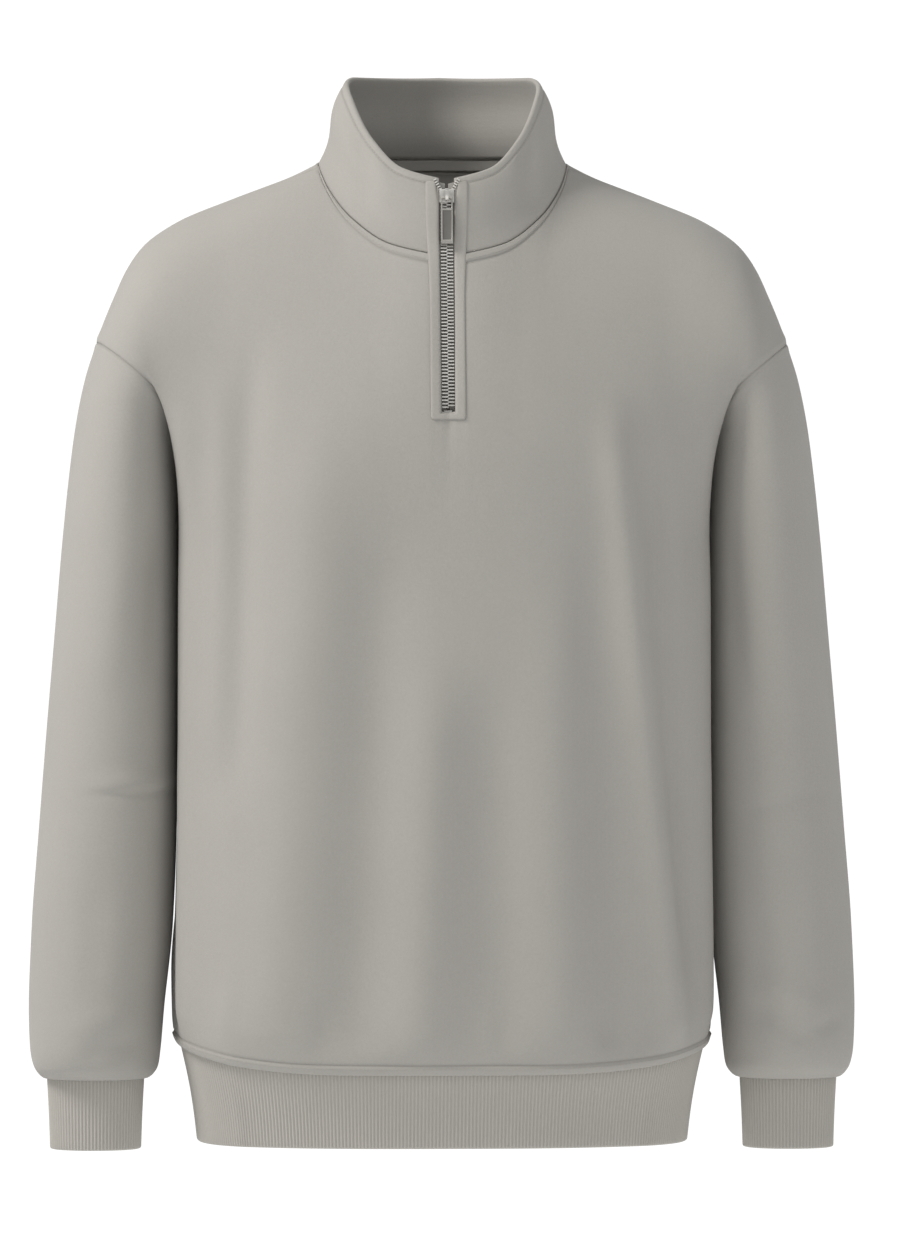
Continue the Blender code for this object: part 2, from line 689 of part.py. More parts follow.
def at_rows(sheet, places):
    """A piece's points and normals at fractional rows, on its flat facets."""
    grids = []
    for grid in (sheet.points, sheet.normals):
        low = np.minimum(np.floor(places).astype(int), len(grid) - 2)
        part_way = (np.asarray(places) - low)[:, None, None]
        grids.append(grid[low] * (1 - part_way) + grid[low + 1] * part_way)
    return grids[0], unit(grids[1])


def build_body(front, back, cloth):
    slot_row = len(BODY_SECTIONS) - 1 + YOKE_CELLS_BELOW_SLOT
    middle = HALF_CELLS
    slot = {(i, j) for i in range(slot_row, front.points.shape[0] - 1) for j in (middle - 1, middle)}
    for name, sheet, left_out in (("front", front, slot), ("back", back, set())):
        outer = set_back(sheet, ("top", "first", "last"))
        add_wall(name, outer, outer - sheet.normals * CLOTH, cloth, left_out=left_out)


def build_sleeves(right, left, cloth):
    for name, sheet in (("sleeve_right", right), ("sleeve_left", left)):
        outer = set_back(sheet, ("top",))
        add_wall(name, outer, outer - sheet.normals * CLOTH, cloth, ring=True)


def build_collar(collar, cloth):
    """Two layers that meet along the top edge, open at the front for the zip."""
    columns = collar.points.shape[1]
    rows = collar.points.shape[0]
    opening = {(i, j) for i in range(rows - 1) for j in (0, columns - 1)}
    outer = set_back(collar, ("bottom",))
    add_wall("collar_outer", outer, outer - collar.normals * CLOTH, cloth, ring=True, left_out=opening)
    places = np.concatenate([[COLLAR_INNER_START], np.arange(1.0, rows)])
    points, normals = at_rows(collar, places)
    wide_opening = {(i, j) for i in range(rows - 1) for j in (0, 1, 2, columns - 3, columns - 2, columns - 1)}
    lining = points - normals * (CLOTH + SEAM_GAP)
    inside = lining - normals * CLOTH
    add_wall("collar_inner", lining, inside, cloth, ring=True, left_out=wide_opening)


def build_neck_tape(collar, back, twill):
    """The strip that covers the seam inside the back of the neck, from shoulder to shoulder."""
    over_back = NECK_CELLS
    columns = collar.points.shape[1]
    on_collar = slice(NECK_CELLS, columns - NECK_CELLS + 1)
    on_back = slice(HALF_CELLS - over_back, HALF_CELLS + over_back + 1)
    above, above_normals = at_rows(collar, [0.0, COLLAR_INNER_START - 0.10])
    below, below_normals = at_rows(back, [back.points.shape[0] - 1 - 0.25])
    points = np.concatenate([below[:, on_back], above[:, on_collar]])
    normals = np.concatenate([below_normals[:, on_back], above_normals[:, on_collar]])
    outer = points - normals * (CLOTH + 2 * SEAM_GAP)
    add_wall("neck_tape", outer, outer - normals * TAPE, twill)


# ---------------------------------------------------------------- rib bands


def crest_ring(edge, normals):
    """Where a band's crests run: just inside the lowest row of the piece that it hangs from."""
    outward = unit(normals * np.array([1.0, 1.0, 0.0]))
    ring = edge - normals * CLOTH - outward * SEAM_GAP
    ring[:, 2] = edge[:, 2]
    return ring, outward


def build_bands(front, back, right, left, rib):
    edge = np.concatenate([front.points[0, :-1], back.points[0, :-1]])
    normals = np.concatenate([front.normals[0, :-1], back.normals[0, :-1]])
    ring, outward = crest_ring(edge, normals)
    add_ribbed_band(
        "hem_band", ring, outward, HEM_RIBS, HEM_BAND_INNER_POINTS, HEM_BAND_BOTTOM_Z, HEM_BAND_TAPER, rib
    )
    for name, sleeve in (("cuff_right", right), ("cuff_left", left)):
        ring, outward = crest_ring(sleeve.points[0], sleeve.normals[0])
        add_ribbed_band(
            name, ring, outward, CUFF_RIBS, CUFF_INNER_POINTS, CUFF_BOTTOM_Z, CUFF_TAPER, rib
        )


# ---------------------------------------------------------------- zip


class ZipLine:
    """The front and the collar along the zip, as rows of points to lay the zip's pieces on."""

    def __init__(self, front, collar):
        first = len(BODY_SECTIONS) - 1 + YOKE_CELLS_BELOW_SLOT - 1
        near = slice(HALF_CELLS - 3, HALF_CELLS + 4)
        around = [-3, -2, -1, 0, 1, 2, 3]
        self.slot = 1
        self.seam = front.points.shape[0] - 1 - first
        self.points = np.concatenate([front.points[first:, near], collar.points[1:, around]])
        self.normals = np.concatenate([front.normals[first:, near], collar.normals[1:, around]])
        self.top = len(self.points) - 1

    def at(self, places, xs):
        """Points and normals at fractional rows and at distances from the middle."""
        points, normals = at_rows(self, np.asarray(places, float))
        made_points = np.zeros((len(places), len(xs), 3))
        made_normals = np.zeros((len(places), len(xs), 3))
        for i in range(len(places)):
            across = points[i, :, 0]
            for k in range(3):
                made_points[i, :, k] = np.interp(xs, across, points[i, :, k])
                made_normals[i, :, k] = np.interp(xs, across, normals[i, :, k])
        return made_points, unit(made_normals)

    def row_at_z(self, z):
        return float(np.interp(z, self.points[:, 3, 2], np.arange(len(self.points))))

    def frame_at(self, place):
        """A frame on the zip: X across, Y up along the cloth and Z out of it."""
        points, normals = self.at([place], [0.0])
        out = Vector((0.0, normals[0, 0, 1], normals[0, 0, 2])).normalized()
        across = Vector((1.0, 0.0, 0.0))
        up = out.cross(across)
        turn = Matrix((across, up, out)).transposed().to_4x4()
        return Matrix.Translation(Vector(points[0, 0])) @ turn


def build_zip(line, cloth, twill, nickel):
    whole_rows = list(range(line.slot + 1, line.top))
    tape_rows = [line.slot - TAPE_BELOW_SLOT, line.slot] + whole_rows + [line.top - TAPE_BELOW_TOP]
    for name, side in (("zip_tape_right", 1), ("zip_tape_left", -1)):
        xs = side * np.array([TAPE_INNER_X, SLOT_HALF_WIDTH, PLACKET_HALF_WIDTH, TAPE_OUTER_X])
        points, normals = line.at(tape_rows, np.sort(xs))
        outer = points - normals * (CLOTH + SEAM_GAP)
        add_wall(name, outer, outer - normals * TAPE, twill)

    chain_top = line.row_at_z(SLIDER_Z)
    chain_rows = [line.slot + CHAIN_ABOVE_SLOT] + [row for row in whole_rows if row < chain_top] + [chain_top]
    points, normals = line.at(chain_rows, [-CHAIN_HALF_WIDTH, CHAIN_HALF_WIDTH])
    add_wall("zip_chain", points - normals * CHAIN_PROUD, points - normals * CLOTH, nickel)

    placket_rows = [line.slot - PLACKET_BELOW_SLOT, line.slot] + whole_rows + [line.top - PLACKET_BELOW_TOP]
    xs = [-PLACKET_HALF_WIDTH, -SLOT_HALF_WIDTH, SLOT_HALF_WIDTH, PLACKET_HALF_WIDTH]
    points, normals = line.at(placket_rows, xs)
    slot = {(i, 1) for i in range(1, len(placket_rows) - 1)}
    outer = points + normals * (SEAM_GAP + PLACKET)
    add_wall("zip_placket", outer, points + normals * SEAM_GAP, cloth, left_out=slot)

    stop = box("zip_bottom_stop", *BOTTOM_STOP, line.frame_at(line.slot + STOP_ABOVE_SLOT))
    stop.data.materials.append(nickel)
    build_slider(line.frame_at(chain_top), nickel)


def build_slider(place, nickel):
    """Front and back plates, the wedge between the tapes, and the bridge that holds the pull tab."""
    slider = box("slider", *SLIDER_FACE, place)
    slider.data.materials.append(nickel)
    for name, low, high in SLIDER_BLOCKS:
        combine(slider, box(name, low, high, place, cutters), "UNION")
    pivot = place @ Matrix.Translation(PULL_TAB_PIVOT)
    tab = box("pull_tab", *PULL_TAB, pivot)
    tab.data.materials.append(nickel)
    combine(tab, box("tab_window", *TAB_WINDOW, pivot, cutters), "DIFFERENCE")
    combine(tab, box("tab_recess", *TAB_RECESS, pivot, cutters), "DIFFERENCE")


def main():
    clear_scene()
    cloth = material("fleece_jersey", STONE, 0.95, 0.0)
    rib = material("rib_knit", STONE_RIB, 0.95, 0.0)
    twill = material("twill_tape", STONE, 0.85, 0.0)
    nickel = material("nickel", NICKEL, 0.3, 1.0)

    front, back, steps = front_and_back()
    right_points = sleeve_points(steps)
    right = Sheet(right_points, ring=True)
    left_points = mirrored(right_points)[:, np.r_[0, len(right_points[0]) - 1 : 0 : -1]]
    left = Sheet(left_points, ring=True)
    collar = collar_sheet()
    share_seam_normals([front, back, right, left, collar])

    build_body(front, back, cloth)
    build_sleeves(right, left, cloth)
    build_collar(collar, cloth)
    build_neck_tape(collar, back, twill)
    build_bands(front, back, right, left, rib)
    build_zip(ZipLine(front, collar), cloth, twill, nickel)


main()
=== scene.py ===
import math

import bmesh
import bpy
import numpy as np
from mathutils import Matrix, Vector


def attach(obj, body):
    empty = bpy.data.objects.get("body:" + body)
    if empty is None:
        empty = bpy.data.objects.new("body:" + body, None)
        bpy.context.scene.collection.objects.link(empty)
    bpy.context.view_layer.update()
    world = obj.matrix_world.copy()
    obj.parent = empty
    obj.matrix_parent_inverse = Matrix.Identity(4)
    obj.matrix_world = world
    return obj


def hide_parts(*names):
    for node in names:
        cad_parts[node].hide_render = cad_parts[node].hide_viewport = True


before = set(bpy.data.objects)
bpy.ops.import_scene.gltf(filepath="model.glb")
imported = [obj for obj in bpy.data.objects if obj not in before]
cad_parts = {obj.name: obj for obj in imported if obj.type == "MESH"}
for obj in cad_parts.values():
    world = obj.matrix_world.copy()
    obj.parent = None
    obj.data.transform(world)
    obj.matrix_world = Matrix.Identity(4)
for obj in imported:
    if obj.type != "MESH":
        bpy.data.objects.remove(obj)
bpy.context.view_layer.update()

# ---------------------------------------------------------------- studio
# The sweatshirt stands filled out in front of plain white, as in a catalogue picture. A long lens looks at
# it level from 5 m away. A strong softbox hangs high on the left, and weak ones in front and on the right.

LENS_DISTANCE = 5.0
VIEW_HEIGHT = 0.9125
VIEW_TURN = math.radians(2.2)
VIEW_AIM = Vector((0.0062, 0.0, -0.3343))

optics = bpy.data.cameras.new("catalogue_camera")
optics.sensor_fit = "VERTICAL"
optics.sensor_height = 36.0
optics.lens = optics.sensor_height * LENS_DISTANCE / VIEW_HEIGHT
camera = bpy.data.objects.new("catalogue_camera", optics)
camera.location = VIEW_AIM - LENS_DISTANCE * Vector((math.sin(VIEW_TURN), math.cos(VIEW_TURN), 0.0))
camera.rotation_euler = (math.radians(90.0), 0.0, -VIEW_TURN)
bpy.context.scene.collection.objects.link(camera)
bpy.context.scene.camera = camera
bpy.context.scene.view_settings.view_transform = "Standard"

# Square softboxes: name, place, size of a side, watts, colour.
SOFTBOX_AIM = Vector((0.0, 0.0, -0.35))
SOFTBOXES = (
    ("key_softbox", (-2.2, -0.9, 2.0), 1.0, 80.0, (1.0, 0.985, 0.965)),
    ("front_softbox", (0.0, -2.6, 2.0), 1.4, 9.0, (1.0, 1.0, 1.0)),
    ("rim_softbox", (2.0, -0.8, 1.9), 1.4, 3.0, (0.97, 0.985, 1.0)),
)
ROOM_LIGHT = 0.425
PAPER_WHITE = 1.05
FLOOR_Z = -0.98
FLOOR_GLOW = 1.02

for name, place, size, watts, colour in SOFTBOXES:
    lamp = bpy.data.lights.new(name, "AREA")
    lamp.shape = "SQUARE"
    lamp.size = size
    lamp.energy = watts
    lamp.color = colour
    softbox = bpy.data.objects.new(name, lamp)
    softbox.location = place
    softbox.rotation_euler = (SOFTBOX_AIM - Vector(place)).to_track_quat("-Z", "Y").to_euler()
    bpy.context.scene.collection.objects.link(softbox)

world = bpy.data.worlds.new("white_room")
world.use_nodes = True
bpy.context.scene.world = world
tree = world.node_tree
room = tree.nodes["Background"]
room.inputs["Color"].default_value = (1.0, 1.0, 1.0, 1.0)
room.inputs["Strength"].default_value = ROOM_LIGHT
paper = tree.nodes.new("ShaderNodeBackground")
paper.inputs["Color"].default_value = (1.0, 1.0, 1.0, 1.0)
paper.inputs["Strength"].default_value = PAPER_WHITE
ray = tree.nodes.new("ShaderNodeLightPath")
seen = tree.nodes.new("ShaderNodeMixShader")
tree.links.new(ray.outputs["Is Camera Ray"], seen.inputs["Fac"])
tree.links.new(room.outputs["Background"], seen.inputs[1])
tree.links.new(paper.outputs["Background"], seen.inputs[2])
tree.links.new(seen.outputs["Shader"], tree.nodes["World Output"].inputs["Surface"])


def finished_piece(name, shape, *finishes):
    """The modelled shape as an object in the scene, with its finishes in order."""
    mesh = bpy.data.meshes.new(name)
    shape.to_mesh(mesh)
    shape.free()
    for finish in finishes:
        mesh.materials.append(finish)
    made = bpy.data.objects.new(name, mesh)
    bpy.context.scene.collection.objects.link(made)
    return made


floor_shape = bmesh.new()
bmesh.ops.create_grid(floor_shape, x_segments=2, y_segments=2, size=14.0)
bmesh.ops.translate(floor_shape, vec=(0.0, 0.0, FLOOR_Z), verts=floor_shape.verts)
pale = bpy.data.materials.new("pale_floor")
pale.use_nodes = True
shader = pale.node_tree.nodes["Principled BSDF"]
shader.inputs["Base Color"].default_value = (0.05, 0.05, 0.05, 1.0)
shader.inputs["Roughness"].default_value = 0.9
shader.inputs["Emission Color"].default_value = (1.0, 1.0, 1.0, 1.0)
shader.inputs["Emission Strength"].default_value = FLOOR_GLOW
floor = finished_piece("pale_floor", floor_shape, pale)

# ---------------------------------------------------------------- front and back
# Front and back are cut from heavy fleece-backed jersey, each in one piece, with dropped shoulders and no
# shoulder yoke. A panel is a flat grid laid on the filled-out form, then given its folds and its seams.

CLOTH = 0.0018
BODY_ROUNDNESS = 2.9
HALF_GIRTH = 0.290
UNDERARM = np.array([0.1840, 0.0, -0.2000])
YOKE_DROP = 0.060
YOKE_DROP_START = 0.60
HEM_FRONT_Z = -0.6555
HEM_BACK_Z = -0.6520
HEM_SIDE_Z = -0.6370
ARMHOLE_DEPTH = 0.0825
ARMHOLE_LIFT = 0.030
LIFT_OUTWARD = 0.27
SHOULDER_TIP_Y = -0.0040
NECK_HALF_WIDTH = 0.0905
NECK_CENTRE_Y = -0.0180
NECK_HALF_DEPTH = 0.0870
SLOT_HALF_WIDTH = 0.0055
SLOT_BOTTOM_Z = -0.1841
PLACKET_HALF_WIDTH = 0.0135
SIDE_DIP_REACH = 0.028

# A half panel is counted in 19 places across: the neck ends at 8 and the shoulder at 19. It is counted in 19
# upwards too, where the yoke starts at 9 and the zip's slot at 12.
NECK_PLACE = 8
TIP_PLACE = 19
YOKE_PLACE = 9
SLOT_PLACE = 12
YOKE_BLEND = 12

# Sections of the body. rise is the share of the way from the hem's seam to the yoke.
BODY_COLUMNS = ("rise", "half_width", "front", "back", "side_dip")
BODY_SECTIONS = (
    (0.000, 0.1930, 0.1255, 0.1155, 0.0000),
    (0.014, 0.1948, 0.1284, 0.1184, 0.0000),
    (0.045, 0.1962, 0.1306, 0.1206, 0.0000),
    (0.120, 0.1968, 0.1320, 0.1215, 0.0000),
    (0.260, 0.1965, 0.1332, 0.1225, 0.0040),
    (0.420, 0.1955, 0.1345, 0.1230, 0.0055),
    (0.580, 0.1945, 0.1350, 0.1230, 0.0055),
    (0.740, 0.1945, 0.1348, 0.1215, 0.0060),
    (0.880, 0.1945, 0.1338, 0.1190, 0.0080),
    (1.000, 0.1945, 0.1325, 0.1165, 0.0105),
)
YOKE_COLUMNS = ("share", "rise_pull", "crown_pull", "crown_back", "crown_up")
FRONT_YOKE = (
    (0.00, 0.070, 0.050, 0.20, 0.98),
    (0.21, 0.075, 0.050, 0.50, 0.87),
    (0.34, 0.085, 0.060, 0.86, 0.51),
    (0.42, 0.095, 0.071, 0.98, 0.18),
    (0.60, 0.100, 0.090, 0.99, 0.12),
    (0.80, 0.090, 0.112, 1.00, 0.08),
    (0.92, 0.085, 0.116, 1.00, 0.03),
    (1.00, 0.080, 0.110, 1.00, 0.00),
)
BACK_YOKE = (
    (0.00, 0.090, 0.060, 0.35, 0.94),
    (0.21, 0.095, 0.060, 0.60, 0.80),
    (0.34, 0.100, 0.067, 0.92, 0.30),
    (0.42, 0.105, 0.075, 0.99, -0.12),
    (0.60, 0.105, 0.090, 0.99, -0.12),
    (0.80, 0.095, 0.112, 1.00, -0.08),
    (0.92, 0.085, 0.116, 1.00, -0.03),
    (1.00, 0.080, 0.110, 1.00, 0.00),
)
SHOULDER_COLUMNS = ("x", "z")
SHOULDER_SEAM = (
    (0.0905, 0.0000),
    (0.1062, -0.0076),
    (0.1515, -0.0248),
    (0.1923, -0.0416),
    (0.2172, -0.0591),
    (0.2296, -0.0767),
    (0.2376, -0.0942),
    (0.2449, -0.1117),
    (0.2515, -0.1290),
)
NECK_COLUMNS = ("angle", "seam_z", "top_z")
NECK_HEIGHTS = (
    (0.0, -0.0712, -0.0172),
    (27.0, -0.0610, -0.0077),
    (48.0, -0.0420, 0.0135),
    (75.0, -0.0120, 0.0472),
    (90.0, 0.0000, 0.0578),
    (115.0, 0.0050, 0.0650),
    (180.0, 0.0070, 0.0680),
)

# Broad folds: distance across the cloth and height of both ends, width, and how far they stand out.
FRONT_FOLDS = (
    (-0.213, -0.200, -0.217, -0.645, 0.020, 0.0055),
    (0.213, -0.200, 0.217, -0.645, 0.020, 0.0060),
    (-0.172, -0.190, -0.180, -0.420, 0.012, 0.0020),
    (-0.150, -0.150, -0.160, -0.440, 0.015, -0.0048),
    (-0.096, -0.210, -0.130, -0.640, 0.036, 0.0085),
    (-0.050, -0.290, -0.066, -0.640, 0.027, -0.0058),
    (-0.012, -0.380, -0.020, -0.640, 0.024, 0.0062),
    (0.030, -0.400, 0.036, -0.640, 0.024, -0.0045),
    (0.078, -0.340, 0.083, -0.640, 0.024, 0.0040),
    (0.106, -0.280, 0.124, -0.640, 0.018, -0.0038),
    (0.124, -0.200, 0.178, -0.650, 0.014, 0.0070),
    (0.156, -0.220, 0.186, -0.560, 0.012, -0.0060),
    (-0.240, -0.480, -0.244, -0.650, 0.013, -0.0040),
    (0.240, -0.480, 0.244, -0.650, 0.013, -0.0040),
)
BACK_FOLDS = (
    (-0.150, -0.260, -0.120, -0.600, 0.022, 0.0045),
    (-0.060, -0.330, -0.080, -0.630, 0.021, -0.0045),
    (0.015, -0.400, 0.000, -0.640, 0.020, 0.0035),
    (0.080, -0.300, 0.105, -0.620, 0.020, -0.0045),
    (0.160, -0.260, 0.175, -0.600, 0.018, 0.0040),
)
FOLD_FADE = 0.090
HEM_FADE = 0.030

# Finer creases, as seen from the front or the back: x and z of both ends, width, and height.
FRONT_CREASES = (
    (-0.240, -0.185, 0.240, -0.190, 0.0550, 0.0040),
    (-0.186, -0.190, -0.172, -0.330, 0.0090, -0.0022),
    (0.188, -0.185, 0.176, -0.320, 0.0090, -0.0020),
    (-0.150, -0.560, -0.163, -0.652, 0.0070, 0.0012),
    (-0.085, -0.600, -0.092, -0.655, 0.0080, -0.0010),
    (0.030, -0.590, 0.028, -0.655, 0.0080, 0.0010),
    (0.110, -0.600, 0.118, -0.652, 0.0075, -0.0012),
    (0.160, -0.560, 0.170, -0.650, 0.0070, 0.0012),
)
BACK_CREASES = (
    (-0.184, -0.190, -0.168, -0.330, 0.0090, -0.0024),
    (0.186, -0.185, 0.170, -0.330, 0.0090, -0.0024),
    (-0.110, -0.610, -0.118, -0.652, 0.0080, 0.0012),
    (-0.020, -0.600, -0.026, -0.650, 0.0080, -0.0012),
    (0.070, -0.600, 0.078, -0.650, 0.0080, 0.0012),
    (0.140, -0.030, 0.060, -0.120, 0.0150, -0.0015),
    (-0.140, -0.030, -0.060, -0.120, 0.0150, -0.0015),
)


def column(names, rows, name):
    return np.array([row[names.index(name)] for row in rows])


def smooth_between(places, knots, values):
    """Values read smoothly between a table's rows, without overshoot."""
    steps = np.diff(knots)
    secants = np.diff(values) / steps
    slopes = np.zeros(len(knots))
    same_way = secants[:-1] * secants[1:] > 0
    pair_sum = np.where(same_way, secants[:-1] + secants[1:], 1.0)
    slopes[1:-1] = np.where(same_way, 2 * secants[:-1] * secants[1:] / pair_sum, 0.0)
    slopes[0] = secants[0]
    slopes[-1] = secants[-1]
    places = np.clip(places, knots[0], knots[-1])
    low = np.clip(np.searchsorted(knots, places, side="right") - 1, 0, len(knots) - 2)
    step = steps[low]
    t = (places - knots[low]) / step
    start = (1 + 2 * t) * (1 - t) ** 2 * values[low] + t * (1 - t) ** 2 * step * slopes[low]
    end = t**2 * (3 - 2 * t) * values[low + 1] - t**2 * (1 - t) * step * slopes[low + 1]
    return start + end


def read(names, rows, name, places):
    return smooth_between(np.asarray(places, float), column(names, rows, names[0]), column(names, rows, name))


def ease(share):
    share = np.clip(share, 0.0, 1.0)
    return share * share * (3 - 2 * share)


def unit(vectors):
    return vectors / np.linalg.norm(vectors, axis=-1, keepdims=True)


def mirrored(points):
    return points * np.array([-1.0, 1.0, 1.0])


def bezier(controls, shares):
    start, leave, reach, end = controls
    t = np.asarray(shares)[:, None, None]
    return (1 - t) ** 3 * start + 3 * t * (1 - t) ** 2 * leave + 3 * t**2 * (1 - t) * reach + t**3 * end


def places_between(*stretches):
    """Places along a panel's rows or columns, from (end, number of cells) stretches that start at 0."""
    found = [0.0]
    for end, cells in stretches:
        found += list(np.linspace(found[-1], end, cells + 1)[1:])
    return np.array(found)


def grid_normals(points, ring=False):
    grid = np.concatenate([points, points[:, :1]], axis=1) if ring else points
    face = np.cross(grid[1:, 1:] - grid[:-1, :-1], grid[1:, :-1] - grid[:-1, 1:])
    total = np.zeros(grid.shape)
    total[:-1, :-1] += face
    total[:-1, 1:] += face
    total[1:, 1:] += face
    total[1:, :-1] += face
    if ring:
        total[:, 0] += total[:, -1]
        total = total[:, :-1]
    return unit(total)


def run_lengths(points, axis):
    """Distance along the cloth from the first row (axis 0) or the first column (axis 1)."""
    steps = np.linalg.norm(np.diff(points, axis=axis), axis=2)
    start = np.zeros((1, steps.shape[1])) if axis == 0 else np.zeros((steps.shape[0], 1))
    return np.concatenate([start, np.cumsum(steps, axis=axis)], axis=axis)


def to_far_edge(lengths, axis):
    return lengths.max(axis=axis, keepdims=True) - lengths


def crease_height(points, creases):
    """Soft troughs and ridges along short lines, which taper at both ends."""
    x = points[:, :, 0]
    z = points[:, :, 2]
    total = np.zeros(x.shape)
    for x0, z0, x1, z1, width, height in creases:
        place = ((x - x0) * (x1 - x0) + (z - z0) * (z1 - z0)) / ((x1 - x0) ** 2 + (z1 - z0) ** 2)
        away = np.hypot(x - x0 - place * (x1 - x0), z - z0 - place * (z1 - z0))
        total += height * ease(place / 0.4) * ease((1 - place) / 0.4) * np.exp(-((away / width) ** 2))
    return total


def fold_height(across, z, folds):
    total = np.zeros(z.shape)
    for across_top, z_top, across_low, z_low, width, height in folds:
        share = np.clip((z_top - z) / (z_top - z_low), 0.0, 1.0)
        middle = across_top + (across_low - across_top) * share
        ends = ease((z_top + FOLD_FADE / 2 - z) / FOLD_FADE) * ease((z - z_low + FOLD_FADE / 2) / FOLD_FADE)
        total += height * ends * np.exp(-(((across - middle) / width) ** 2))
    return total


def pinch(distance, depth=0.0006):
    """Two pieces turned in at a plain seam, with the seam allowance's soft swell beside it."""
    swell = 0.0004 * np.exp(-(((distance - 0.0048) / 0.0030) ** 2))
    return swell - depth * np.exp(-((distance / 0.0014) ** 2))


def stitched_strip(distance, width, height):
    """A seam allowance sewn down flat beside its seam: a raised strip that ends in a stitched groove."""
    raised = ease(distance / 0.0012) - ease((distance - width + 0.0014) / 0.0014)
    groove = np.exp(-(((distance - width - 0.0004) / 0.0009) ** 2))
    return height * raised - 0.0006 * groove - 0.0009 * np.exp(-((distance / 0.0008) ** 2))


ROWS = places_between(
    (1, 6), (2, 12), (3, 9), (4, 15), (7, 51), (8, 15), (9, 13), (12, 21), (18, 36), (18.5, 3), (19, 12)
)
YOKE_ROW = int(np.argmin(np.abs(ROWS - YOKE_PLACE)))
SLOT_ROW = int(np.argmin(np.abs(ROWS - SLOT_PLACE)))
FRONT_PLACES = places_between((1, 3), (2, 6), (2.25, 2), (2.75, 3), (18, 61), (18.6, 3), (19, 6))
BACK_PLACES = places_between((18, 72), (18.6, 3), (19, 6))

angle_steps = np.linspace(0.0, math.pi / 2, 2001)
section_x = BODY_SECTIONS[6][1] * np.sin(angle_steps) ** (2 / BODY_ROUNDNESS)
section_y = BODY_SECTIONS[6][2] * np.clip(np.cos(angle_steps), 0.0, 1.0) ** (2 / BODY_ROUNDNESS)
section_run = np.concatenate([[0.0], np.cumsum(np.hypot(np.diff(section_x), np.diff(section_y)))])


def ring_angles(share):
    return np.interp(share * section_run[-1], section_run, angle_steps)


def angle_at_x(x):
    return np.arcsin((x / BODY_SECTIONS[-1][1]) ** (BODY_ROUNDNESS / 2))


def neck_seam(angles):
    x = NECK_HALF_WIDTH * np.sin(angles)
    y = NECK_CENTRE_Y - NECK_HALF_DEPTH * np.cos(angles)
    return np.stack([x, y, read(NECK_COLUMNS, NECK_HEIGHTS, "seam_z", np.degrees(angles))], axis=1)


def crown_points(places, neck_knots):
    """The panel's top edge: the collar's seam, then the shoulder seam out to the armhole."""
    neck = neck_seam(np.interp(places[places <= NECK_PLACE], np.arange(NECK_PLACE + 1), neck_knots))
    x = column(SHOULDER_COLUMNS, SHOULDER_SEAM, "x")
    z = column(SHOULDER_COLUMNS, SHOULDER_SEAM, "z")
    knots = np.arange(len(x), dtype=float)
    fine = np.linspace(0.0, knots[-1], 161)
    fine_x = smooth_between(fine, knots, x)
    fine_z = smooth_between(fine, knots, z)
    travelled = np.concatenate([[0.0], np.cumsum(np.hypot(np.diff(fine_x), np.diff(fine_z)))])
    share = (places[places > NECK_PLACE] - NECK_PLACE) / (TIP_PLACE - NECK_PLACE)
    run = share * travelled[-1]
    y = NECK_CENTRE_Y + (SHOULDER_TIP_Y - NECK_CENTRE_Y) * share
    shoulder = np.stack([np.interp(run, travelled, fine_x), y, np.interp(run, travelled, fine_z)], axis=1)
    return np.concatenate([neck, shoulder])


def half_ring_controls(inner, outer, half_depth, lift, facing):
    reach = facing * half_depth * 4 / 3
    leave = inner + np.array([LIFT_OUTWARD * lift, reach, lift])
    return inner, leave, outer + np.array([0.0, reach, 0.0]), outer


def body_part(rises, shares, angles, facing, depth_name, middle_z):
    half_width = read(BODY_COLUMNS, BODY_SECTIONS, "half_width", rises)[:, None]
    depth = read(BODY_COLUMNS, BODY_SECTIONS, depth_name, rises)[:, None]
    side_dip = read(BODY_COLUMNS, BODY_SECTIONS, "side_dip", rises)[:, None]
    y = facing * depth * np.clip(np.cos(angles), 0.0, 1.0) ** (2 / BODY_ROUNDNESS)
    y[:, -1] = 0.0
    x = half_width * np.sin(angles) ** (2 / BODY_ROUNDNESS) - side_dip * np.exp(-((y / SIDE_DIP_REACH) ** 2))
    low = middle_z + (HEM_SIDE_Z - middle_z) * ease((shares - 0.35) / 0.6)
    climb = np.clip((shares - YOKE_DROP_START) / (1 - YOKE_DROP_START), 0.0, 1.0)
    high = UNDERARM[2] - YOKE_DROP * (1 - climb**2)
    return np.stack([x, y, low + rises[:, None] * (high - low)], axis=2)


def yoke_controls(base, places, crown, table, facing):
    shares = places / TIP_PLACE
    rise_pull = read(YOKE_COLUMNS, table, "rise_pull", shares)[:, None]
    crown_pull = read(YOKE_COLUMNS, table, "crown_pull", shares)[:, None]
    back = read(YOKE_COLUMNS, table, "crown_back", shares)
    up = read(YOKE_COLUMNS, table, "crown_up", shares)
    armhole = half_ring_controls(UNDERARM, crown[-1], ARMHOLE_DEPTH, ARMHOLE_LIFT, facing)
    near = np.clip((shares - YOKE_DROP_START) / (1 - YOKE_DROP_START), 0.0, 1.0)[:, None] ** 1.5
    leave = (1 - near) * rise_pull * np.array([0.0, 0.0, 1.0]) + near * (armhole[1] - armhole[0])
    arrive = crown_pull * unit(np.stack([np.zeros(len(shares)), -facing * back, up], axis=1))
    return base, base + leave, crown - arrive, crown


